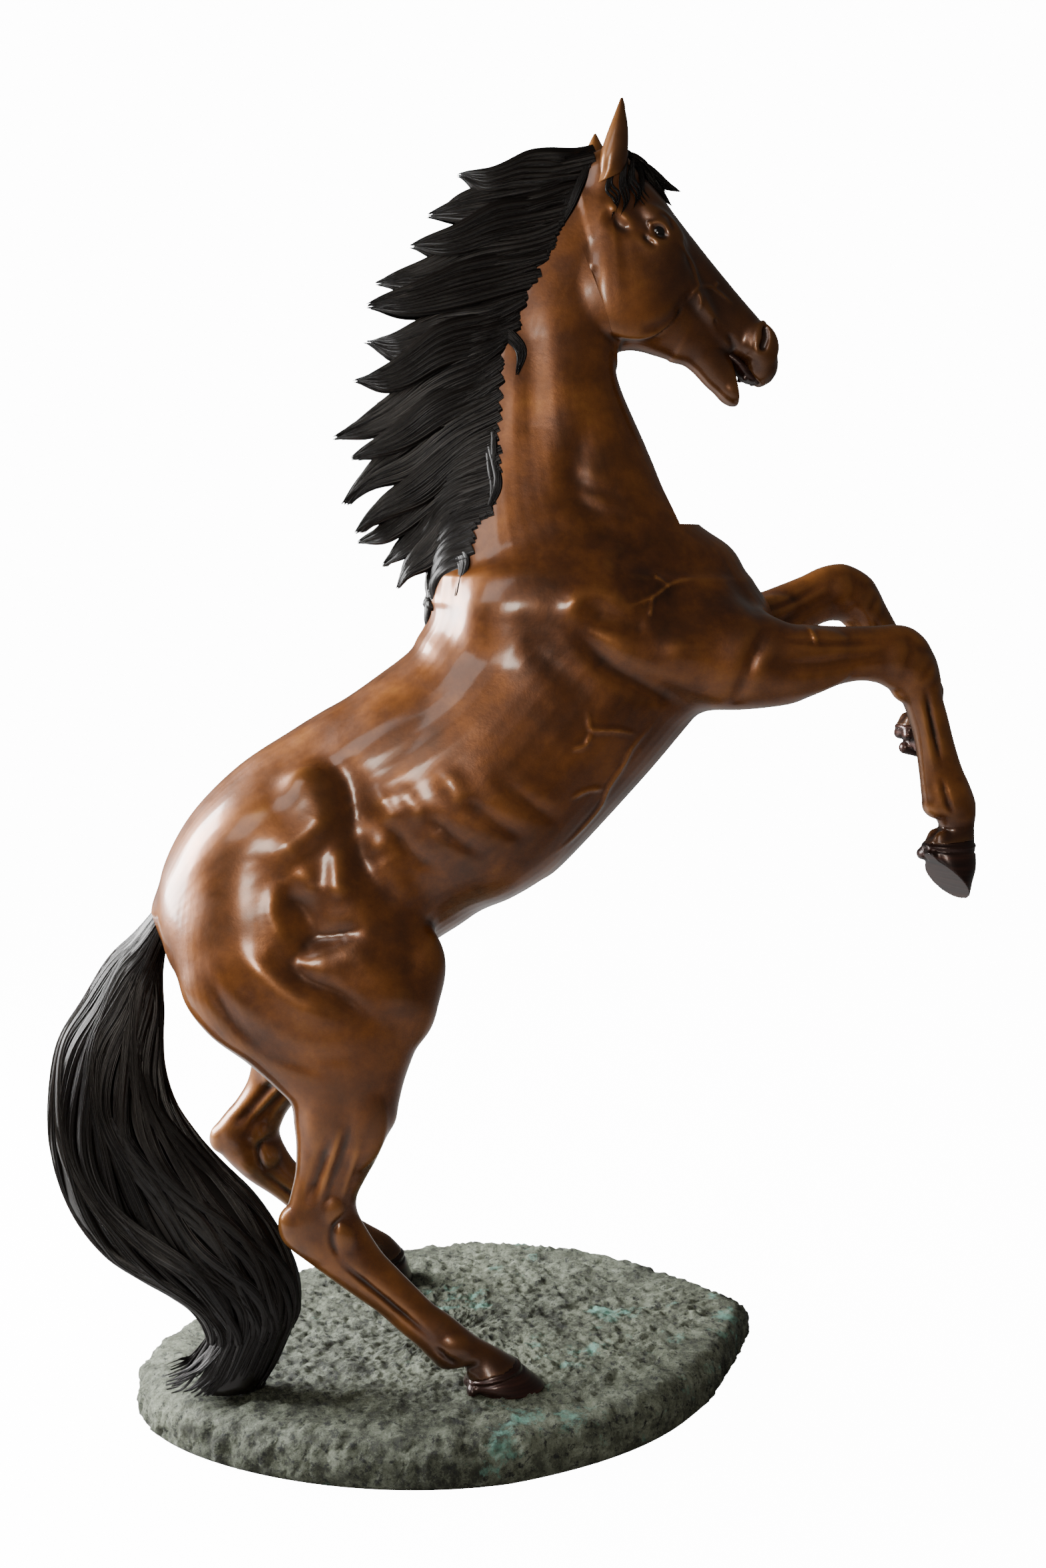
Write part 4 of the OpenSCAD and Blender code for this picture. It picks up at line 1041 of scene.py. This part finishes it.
# ears: leaves of bronze, hollow towards the front
EARS = {
    "right_ear": ([(340, 2500, 276, 2470, 24, -56), (345, 2520, 284, 2492, 26, -60),
                   (347, 2548, 287, 2526, 27, -64), (345, 2585, 299, 2565, 21, -68),
                   (338, 2614, 312, 2600, 12, -71), (331, 2638, 326, 2636, 3, -73)],
                  [(352, -70, 2508), (354, -74, 2545), (350, -77, 2585), (340, -76, 2614)]),
    "left_ear": ([(332, 2498, 270, 2474, 24, 52), (334, 2516, 276, 2494, 25, 56),
                  (333, 2540, 278, 2522, 26, 58), (325, 2566, 282, 2554, 20, 60),
                  (314, 2588, 293, 2582, 11, 61), (307, 2602, 303, 2601, 3, 62)],
                 [(342, 66, 2506), (342, 70, 2536), (332, 72, 2568), (318, 70, 2588)])}
for name, (leaf, hollow) in EARS.items():
    y = leaf[0][5]
    clay = Clay((240, y - 60, 2440), (380, y + 60, 2650), 1.6)
    clay.loft(leaf, k=1)
    widths = np.interp(np.linspace(0, 3, 16), range(4), (10, 16, 13, 5))
    clay.rope(curve_through(hollow, 5), widths, k=4, carve=True)
    ear = part_casting(name, clay.skin(1), [], body_bronze, ((290, 2560), (335, 2560), 0.75))
    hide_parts(name)

# ---------------------------------------------------------------- hair
# Mane, forelock and tail are modelled as combed locks: flat rolls of clay drawn to a
# point, scored lengthwise, and laid over one another on a solid core. Each roll here
# is a swept section on its own path.


def start_tree(name, sizes):
    """A Geometry Nodes tree with a named input for each size and for the material."""
    tree = bpy.data.node_groups.new(name, "GeometryNodeTree")
    tree.interface.new_socket("Geometry", in_out="INPUT", socket_type="NodeSocketGeometry")
    for label, value in sizes.items():
        kind = "NodeSocketInt" if isinstance(value, int) else "NodeSocketFloat"
        tree.interface.new_socket(label, in_out="INPUT", socket_type=kind).default_value = value
    tree.interface.new_socket("Material", in_out="INPUT", socket_type="NodeSocketMaterial")
    tree.interface.new_socket("Geometry", in_out="OUTPUT", socket_type="NodeSocketGeometry")
    return tree, add_node(tree, "NodeGroupInput").outputs


def end_tree(tree, geometry, material, smooth):
    """Makes the geometry real, gives it its material, and puts it out."""
    solid = add_node(tree, "GeometryNodeRealizeInstances", {"Geometry": geometry}).outputs[0]
    solid = add_node(tree, "GeometryNodeSetMaterial", {"Geometry": solid, "Material": material}).outputs[0]
    if smooth:
        solid = add_node(tree, "GeometryNodeSetShadeSmooth", {"Geometry": solid}).outputs[0]
    add_node(tree, "NodeGroupOutput", {0: solid})
    return tree


def run_tree(holder, tree, values):
    """Runs a tree on an object and gives the result."""
    modifier = holder.modifiers.new(tree.name, "NODES")
    modifier.node_group = tree
    sockets = {i.name: i.identifier for i in tree.interface.items_tree if i.in_out == "INPUT"}
    for label, value in values.items():
        modifier[sockets[label]] = value
    return holder.evaluated_get(bpy.context.evaluated_depsgraph_get())


def comb_tree():
    """Sweeps a scored flat section along every path of a curve object."""
    tree, given = start_tree("combed_locks", {"Corners": 22, "Flatness": 0.42, "Score Depth": 0.16,
                                              "Scores": 11.0})
    ring = add_node(tree, "GeometryNodeCurvePrimitiveCircle", {"Resolution": given["Corners"], "Radius": 1.0})
    ring = ring.outputs[0]
    place = add_node(tree, "GeometryNodeInputPosition").outputs[0]
    xyz = add_node(tree, "ShaderNodeSeparateXYZ", {0: place}).outputs
    angle = add_node(tree, "ShaderNodeMath", {0: xyz[1], 1: xyz[0]}, operation="ARCTAN2").outputs[0]
    turns = add_node(tree, "ShaderNodeMath", {0: angle, 1: given["Scores"]}, operation="MULTIPLY").outputs[0]
    wave = add_node(tree, "ShaderNodeMath", {0: turns}, operation="COSINE").outputs[0]
    size = add_node(tree, "ShaderNodeMath", {0: wave, 1: given["Score Depth"], 2: 1.0},
                    operation="MULTIPLY_ADD").outputs[0]
    scored = add_node(tree, "ShaderNodeVectorMath", {0: place, "Scale": size}, operation="SCALE").outputs[0]
    squeeze = add_node(tree, "ShaderNodeCombineXYZ", {0: given["Flatness"], 1: 1.0}).outputs[0]
    flat = add_node(tree, "ShaderNodeVectorMath", {0: scored, 1: squeeze}, operation="MULTIPLY").outputs[0]
    profile = add_node(tree, "GeometryNodeSetPosition", {"Geometry": ring, "Position": flat}).outputs[0]
    around = add_node(tree, "GeometryNodeSplineParameter").outputs["Factor"]
    profile = add_node(tree, "GeometryNodeStoreNamedAttribute", {"Geometry": profile, "Value": around},
                       data_type="FLOAT", domain="POINT", Name="around").outputs[0]
    out = add_node(tree, "GeometryNodeInputNamedAttribute", data_type="FLOAT_VECTOR", Name="out").outputs[0]
    path = add_node(tree, "GeometryNodeSetCurveNormal", {"Curve": given["Geometry"], "Normal": out},
                    mode="FREE").outputs[0]
    along = add_node(tree, "GeometryNodeSplineParameter").outputs["Length"]
    path = add_node(tree, "GeometryNodeStoreNamedAttribute", {"Geometry": path, "Value": along},
                    data_type="FLOAT", domain="POINT", Name="along").outputs[0]
    thick = add_node(tree, "GeometryNodeInputRadius").outputs[0]
    swept = add_node(tree, "GeometryNodeCurveToMesh", {"Curve": path, "Profile Curve": profile,
                                                       "Scale": thick, "Fill Caps": True}).outputs[0]
    return end_tree(tree, swept, given["Material"], smooth=True)


comb = comb_tree()
chance = np.random.default_rng(7)


def comb_locks(name, paths, cores, corners=22, flatness=0.42, depth=0.16, scores=11.0):
    """One casting of hair. A path is points, a radius at each and the way its face
    looks; the cores are closed lofts that fill the inside."""
    curves = bpy.data.hair_curves.new(name)
    curves.add_curves([len(p[0]) for p in paths])
    curves.position_data.foreach_set("vector", np.concatenate([p[0] for p in paths]).ravel() / 1000)
    radii = np.concatenate([p[1] for p in paths]) / 1000
    curves.attributes.new("radius", "FLOAT", "POINT").data.foreach_set("value", radii)
    looks = np.concatenate([p[2] for p in paths])
    curves.attributes.new("out", "FLOAT_VECTOR", "POINT").data.foreach_set("vector", looks.ravel())
    holder = bpy.data.objects.new(name + "_paths", curves)
    scene.collection.objects.link(holder)
    combed = run_tree(holder, comb, {"Corners": corners, "Flatness": flatness, "Score Depth": depth,
                                     "Scores": scores, "Material": hair_bronze})
    geometry = combed.evaluated_geometry()
    swept = geometry.mesh
    count = len(swept.vertices)
    verts = np.empty(3 * count)
    swept.vertices.foreach_get("co", verts)
    verts = verts.reshape(-1, 3)
    faces = [tuple(p.vertices) for p in swept.polygons]
    strand = np.zeros((count, 2))
    for i, label in enumerate(("around", "along")):
        values = np.empty(count)
        swept.attributes[label].data.foreach_get("value", values)
        strand[:, i] = values
    bpy.data.objects.remove(holder)
    for core in cores:
        extra, quads, tris = tube(section_rings(core, 16, 5))
        faces += [tuple(q + count) for q in quads[:, ::-1]] + [tuple(q + count) for q in tris[:, ::-1]]
        verts = np.vstack([verts, extra / 1000])
        count = len(verts)
    strand = np.vstack([strand, np.zeros((count - len(strand), 2))])
    made = make_object(name, verts, faces, hair_bronze)
    layer = made.data.uv_layers.new(name="strand")
    corner = np.empty(len(made.data.loops), int)
    made.data.loops.foreach_get("vertex_index", corner)
    layer.data.foreach_set("uv", strand[corner].ravel())
    face_outwards(made.data)
    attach(made, "root")
    return made


def lock_path(points, width, wave=0.0, phase=0.0, look=(0, -1, 0), steps=22, root=0.75):
    """A lock's path through some points, waving in the side view, with its taper."""
    path = curve_through(points, 8)
    share = np.concatenate([[0], np.cumsum(np.linalg.norm(np.diff(path, axis=0), axis=1))])
    share /= share[-1]
    t = np.linspace(0, 1, steps)
    path = np.stack([np.interp(t, share, path[:, i]) for i in range(3)], 1)
    way = np.gradient(path, axis=0)
    side = np.stack([-way[:, 2], 0 * t, way[:, 0]], 1)
    side /= np.maximum(np.linalg.norm(side, axis=1), 1e-6)[:, None]
    sway = wave * np.sin(2 * math.pi * (1.15 * t + phase)) * np.sin(math.pi * t) ** 0.8
    path = path + side * sway[:, None]
    taper = (root + (1 - root) * np.minimum(t / 0.25, 1)) * (1 - t ** 2.6) ** 0.9
    return path, width * np.maximum(taper, 0.03), np.tile(np.array(look, float), (steps, 1))


CREST_Z = [1600, 1655, 1740, 1800, 1870, 1940, 2010, 2090, 2170, 2250, 2340, 2430, 2500, 2545]
CREST_X = [-45, -42, -28, -18, -5, 5, 15, 28, 45, 75, 115, 165, 210, 252]
ROOT_Z = [1600, 1667, 1734, 1803, 1824, 1904, 1978, 2053, 2156, 2195, 2508, 2545]
ROOT_X = [-50, -25, 16, 30, 58, 78, 81, 84, 87, 114, 258, 285]
# tip x and z, height of the root, half spread at the root, how far the tip stands to
# the left, and how much higher than its tip the lock runs before it turns down to it
MANE = {
    "mane_upper": [(10, 2490, 2516, 32, -12, -12), (-48, 2415, 2478, 42, 4, 4), (-84, 2352, 2425, 40, -14, 0),
                   (-155, 2282, 2370, 42, 8, 4), (-172, 2233, 2320, 42, -16, 2)],
    "mane_middle": [(-176, 2169, 2218, 42, 14, -16), (-201, 2090, 2205, 42, -18, -4),
                    (-242, 1980, 2165, 44, 8, 14), (-207, 1938, 2095, 38, -16, 16),
                    (-150, 2050, 2190, 34, 18, 0)],
    "mane_lower": [(-225, 1851, 2070, 46, 10, 42), (-201, 1793, 1985, 36, -16, 24),
                   (-193, 1773, 1935, 28, 10, 4), (-144, 1727, 1890, 34, 6, 20),
                   (-117, 1683, 1845, 32, -12, 26), (-54, 1600, 1765, 40, 0, 60)]}


def mane_locks(tip_x, tip_z, root_z, spread, lean, sag):
    """The locks that gather in one point of the mane, on both sides and between."""
    paths = []
    bend = chance.uniform(0.35, 0.65)
    for layer, n in ((-1, 9), (-0.45, 5), (0.45, 5), (1, 8)):
        for k in range(n):
            s = (k + 0.5) / n * 2 - 1 + chance.uniform(-0.12, 0.12)
            z = min(root_z + s * spread, 2552)
            near = abs(layer) == 1
            x = float(np.interp(z, ROOT_Z, ROOT_X) if near else np.interp(z, CREST_Z, CREST_X) + 14)
            x += chance.uniform(-6, 10)
            y = layer * max(body_clay.side_of(x, z, layer) + 1, 20)
            crest = float(np.interp(z - 24, CREST_Z, CREST_X))
            run = tip_x - crest
            drop = tip_z - z
            end = chance.uniform(0.90, 1.0)
            fan = s * spread
            fall_z = root_z - tip_z
            points = [(x, y, z), (crest - 2, layer * 46, z - 16 + 0.16 * drop),
                      (crest + 0.38 * run, layer * 34 + 0.4 * lean, tip_z + 0.50 * fall_z + 0.86 * fan),
                      (crest + 0.72 * run, layer * 22 + 0.8 * lean, tip_z + 0.10 * fall_z + sag + 0.55 * fan),
                      (crest + end * run, layer * 6 + lean, tip_z + 0.10 * fan)]
            paths.append(lock_path(points, chance.uniform(12.5, 17), chance.uniform(6, 10), bend,
                                   (0, math.copysign(1, layer), 0)))
    return paths


def mane_core(tip_x, tip_z, root_z, spread, lean, sag):
    """The solid middle of the locks that gather in one point."""
    crest = float(np.interp(root_z, CREST_Z, CREST_X))
    core = [(crest + 50, root_z + spread * 0.8, crest + 50, root_z - spread, 22, 0)]
    for out, height, half, thick in ((0.2, tip_z + 0.66 * (root_z - tip_z), spread * 0.85, 26),
                                     (0.6, tip_z + 0.22 * (root_z - tip_z) + 0.7 * sag, 0.6 * spread, 16)):
        x = crest + out * (tip_x - crest)
        core.append((x, height + half, x, height - half, thick, (0.3 if out < 0.5 else 0.7) * lean))
    x = crest + 0.93 * (tip_x - crest)
    return core + [(x, tip_z + 4, x, tip_z - 2, 3, lean)]


def hanging(points, n, width, spread):
    """Loose locks that lie on the side of the neck."""
    paths = []
    for k in range(n):
        s = (k - (n - 1) / 2) * spread
        fan = np.linspace(1, 0.15, len(points))
        laid = [(x + s * f, -max(body_clay.side_of(x + s * f, z, -1) + 5, 30), z)
                for (x, z), f in zip(points, fan)]
        paths.append(lock_path(laid, width * chance.uniform(0.85, 1.1), 3, chance.uniform(0, 1)))
    return paths


HANGING = {
    "mane_upper": [([(256, 2520), (232, 2450), (198, 2390), (176, 2338)], 4, 8, 9),
                   ([(190, 2450), (160, 2390), (143, 2330), (128, 2268)], 4, 8, 9)],
    "mane_middle": [([(96, 2330), (80, 2250), (92, 2200), (129, 2152), (121, 2101)], 5, 8, 8)],
    "mane_lower": [([(66, 1990), (72, 1930), (76, 1880), (53, 1822)], 3, 8, 8),
                   ([(20, 1850), (-6, 1790), (12, 1730), (-9, 1666)], 4, 8, 8)]}
for name, tips in MANE.items():
    paths = [p for tip in tips for p in mane_locks(*tip)]
    paths += [p for lock in HANGING[name] for p in hanging(*lock)]
    made = comb_locks(name, paths, [mane_core(*tip) for tip in tips])
    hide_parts(name)

# forelock: a crest over the brow, two points blown forward, and thin locks on the temples
paths = []
for k in range(9):
    s = (k - 4) / 4
    y = 22 * s
    route = [(286, y * 0.8, 2532), (330, y * 1.2, 2554 - 6 * abs(s)), (372, y * 1.3, 2540 - 6 * abs(s)),
             (402, y * 1.1, 2506), (418 + 24 * (k % 2), y, 2474 + 8 * (k % 3))]
    paths.append(lock_path(route, 11, 4, chance.uniform(0, 1), (0.5, 0, 0.86)))
for tip, rise_at, n in (((472, 6, 2481), (428, 5, 2498), 5), ((450, -8, 2449), (420, -8, 2476), 5)):
    for k in range(n):
        y = tip[1] + 5 * (k - 2)
        paths.append(lock_path([(330, y, 2540), (378, y, 2532), (rise_at[0], y, rise_at[2]), tip], 11, 3,
                               chance.uniform(0, 1), (0, -1, 0)))
TEMPLE = [[(318, 2508), (304, 2462), (318, 2440), (312, 2402)],
          [(334, 2510), (332, 2470), (338, 2436), (330, 2410)],
          [(350, 2512), (350, 2474), (362, 2450), (356, 2424)],
          [(366, 2508), (372, 2476), (368, 2450), (382, 2432)]]
for side in (-1, 1):
    for route in TEMPLE:
        for k in range(3):
            laid = [(x + 4.5 * (k - 1), side * (body_clay.side_of(x, z, side) + 2.5), z + 7 * k)
                    for x, z in route]
            paths.append(lock_path(laid, chance.uniform(2.6, 3.3), 1.5, 0.3, (0, side, 0)))
forelock = comb_locks("forelock", paths, [[(290, 2548, 300, 2512, 20, 0), (340, 2552, 345, 2520, 28, 0),
                                           (384, 2530, 376, 2502, 24, 0), (404, 2500, 398, 2486, 14, 0)]])
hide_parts("forelock")

# tail: locks that run round a solid core from the dock, and fan out on the rock
TAIL = [(-600, 1046, -590, 985, 30, 0), (-652, 988, -600, 920, 48, -8), (-701, 944, -601, 880, 56, -18),
        (-751, 867, -598, 835, 62, -28), (-800, 791, -600, 780, 67, -40), (-820, 700, -598, 722, 70, -55),
        (-825, 606, -578, 656, 72, -71), (-807, 515, -538, 596, 74, -88), (-772, 435, -480, 530, 75, -105),
        (-718, 368, -427, 476, 75, -125), (-655, 328, -386, 418, 74, -145), (-596, 295, -355, 360, 72, -160),
        (-552, 262, -340, 305, 69, -171), (-528, 225, -342, 250, 66, -181), (-524, 180, -366, 200, 62, -189)]
TAIL_LOCKS = 84
dense = curve_through(TAIL, 4)
paths = []
for k in range(TAIL_LOCKS):
    angle = 2 * math.pi * (k + chance.uniform(-0.3, 0.3)) / TAIL_LOCKS
    drift = chance.uniform(-0.35, 0.35)
    start = 0 if k % 3 else int(chance.uniform(4, 26))
    stop = len(dense)
    t = np.linspace(start, stop - 1, 46)
    ring = np.stack([np.interp(t, range(stop), dense[:, i]) for i in range(6)], 1)
    turn_at = angle + drift * t / stop + 0.10 * np.sin(0.32 * t + 7 * angle)
    c, q = np.cos(turn_at), np.sin(turn_at)
    lift = 0.95 + (0.03 if k % 3 == 0 else 0)
    a, b = ring[:, 0:2], ring[:, 2:4]
    flat = (a + b) / 2 + (a - b) / 2 * (lift * c)[:, None]
    y = ring[:, 5] + lift * ring[:, 4] * q
    body = np.stack([flat[:, 0], y, flat[:, 1]], 1)
    across, out = c[-1], q[-1]
    foot_x = -490 - 118 * max(across, 0) + 80 * max(-across, 0)
    foot_z = 108 + 52 * max(across, 0) * chance.uniform(0, 1)
    foot_y = -196 + (42 * out if out < 0 else 46 * out)
    last = body[-1]
    tip = [(0.55 * last[0] + 0.45 * foot_x, 0.5 * last[1] + 0.5 * foot_y, 0.5 * last[2] + 0.5 * foot_z),
           (foot_x + 26 * max(across, 0), foot_y, foot_z + 8), (foot_x, foot_y, max(foot_z, 100))]
    whole = np.vstack([body[:-2], tip])
    end = len(whole) - 1
    taper = np.interp(np.arange(end + 1), [0, 4, 20, end - 7, end], [0.6, 0.8, 1, 0.85, 0.08])
    look = np.stack([(a - b)[:, 0] * c, ring[:, 4] * q * 2, (a - b)[:, 1] * c], 1)
    look /= np.linalg.norm(look, axis=1)[:, None]
    look = np.vstack([look[:-2], look[-1:], look[-1:], look[-1:]])
    paths.append((whole, chance.uniform(11.5, 15.0) * taper, look))
core = [tuple(s[:4]) + (s[4] - 7, s[5]) for s in TAIL] + [(-540, 112, -420, 112, 50, -195)]
tail = comb_locks("tail", paths, [core], corners=18, flatness=0.5, depth=0.18, scores=9.0)
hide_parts("tail_upper", "tail_lower")

# ---------------------------------------------------------------- rock base
# The rock is one hollow casting: a low slab, round behind and drawn to a blunt point
# in front, with a rough hammered top and a rounded edge; it is open underneath.
SLAB = (670.0, 475.0)          # half length and half width, in mm
SLAB_TURN = math.radians(4.5)
SLAB_TOP, WALL = 95.0, 8.0
# the edge from the ground to the top: how far out of the half width, and the height
RIM = [(-8, 0), (-3, 6), (0, 14), (0, 24), (0, 34), (-1, 50), (-3, 62), (-8, 72), (-14, 80), (-22, 87),
       (-34, 92), (-50, 94), (-86, 95)]


def slab_ring(grow, height, n, shrink=1.0):
    """A ring round the slab, pointed in front, and higher on the horse's left."""
    t = np.linspace(0, 2 * math.pi, n, endpoint=False)
    c = np.cos(t)
    right = np.where(c > 0, 1 - 0.11 * c - 0.7 * np.maximum(c, 0) ** 5, 1 - 0.17 * c * c)
    left = 1.045 * np.where(c > 0, 1 - 0.8 * np.maximum(c, 0) ** 5, 1 - 0.3 * c * c)
    taper = np.where(np.sin(t) > 0, left, right)
    x, y = (SLAB[0] + grow) * c * shrink, (SLAB[1] + grow) * np.sin(t) * taper * shrink
    return np.stack([x * math.cos(SLAB_TURN) - y * math.sin(SLAB_TURN),
                     x * math.sin(SLAB_TURN) + y * math.cos(SLAB_TURN),
                     height * (1 + 0.07 * np.maximum(np.sin(t), 0) * shrink)], 1)


n = 560
top = 100
roof, inset = SLAB_TOP - WALL, RIM[-1][0]
cover = [slab_ring(inset - WALL, roof, n, 1 - i / 6) for i in range(1, 6)]
inner = [slab_ring(g - WALL, min(h, roof), n) for g, h in RIM[:-1]] + [slab_ring(inset - WALL, roof, n)]
outer = [slab_ring(g, h, n) for g, h in RIM]
outer += [slab_ring(inset, SLAB_TOP, n, 1 - (i + 1) / (top + 1)) for i in range(top)]
verts, quads, tris = tube(np.stack(cover[::-1] + inner[::-1] + outer))
verts[-2:] = [(0, 0, roof), (0, 0, SLAB_TOP)]
rock = make_object("rock_base", verts / 1000, quads.tolist() + tris.tolist(), rock_bronze)

# only the outside is rough: not at its lowest ring, and half as much at the next
outside = np.zeros(len(verts))
first = (len(cover) + len(inner)) * n
outside[first + n:first + 2 * n] = 0.5
outside[first + 2 * n:-2] = 1.0
outside[-1] = 1.0
rock.data.attributes.new("outside", "FLOAT", "POINT").data.foreach_set("value", outside)


def rough_tree():
    """Pushes the outside of the rock in and out by broken noise of two sizes."""
    tree, given = start_tree("hammered_rock", {"Lump Height": 0.010, "Lump Scale": 20.0,
                                               "Chip Height": 0.0115, "Chip Scale": 60.0})
    place = add_node(tree, "GeometryNodeInputPosition").outputs[0]
    bent = add_node(tree, "ShaderNodeTexNoise", {"Vector": place}, Scale=9.0, Detail=2.0).outputs["Color"]
    bent = add_node(tree, "ShaderNodeVectorMath", {0: bent, "Scale": 0.05}, operation="SCALE").outputs[0]
    moved = add_node(tree, "ShaderNodeVectorMath", {0: place, 1: bent}, operation="ADD").outputs[0]
    heights = []
    for size, detail, rough in (("Lump", 3.0, 0.5), ("Chip", 4.0, 0.6)):
        noise = add_node(tree, "ShaderNodeTexNoise", {"Vector": moved, "Scale": given[size + " Scale"]},
                         Detail=detail, Roughness=rough).outputs[0]
        centred = add_node(tree, "ShaderNodeMath", {0: noise, 1: 0.5}, operation="SUBTRACT").outputs[0]
        steep = add_node(tree, "ShaderNodeMath", {0: centred, 1: 2.6}, operation="MULTIPLY").outputs[0]
        heights.append(add_node(tree, "ShaderNodeMath", {0: steep, 1: given[size + " Height"]},
                                operation="MULTIPLY").outputs[0])
    total = add_node(tree, "ShaderNodeMath", {0: heights[0], 1: heights[1]}, operation="ADD").outputs[0]
    share = add_node(tree, "GeometryNodeInputNamedAttribute", data_type="FLOAT", Name="outside").outputs[0]
    total = add_node(tree, "ShaderNodeMath", {0: total, 1: share}, operation="MULTIPLY").outputs[0]
    normal = add_node(tree, "GeometryNodeInputNormal").outputs[0]
    push = add_node(tree, "ShaderNodeVectorMath", {0: normal, "Scale": total}, operation="SCALE").outputs[0]
    moved = add_node(tree, "GeometryNodeSetPosition", {"Geometry": given["Geometry"],
                                                       "Offset": push}).outputs[0]
    return end_tree(tree, moved, given["Material"], smooth=False)


hammered = bpy.data.meshes.new_from_object(run_tree(rock, rough_tree(), {"Material": rock_bronze}))
rock.modifiers.clear()
rock.data = hammered
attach(rock, "root")
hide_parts("base_shell")
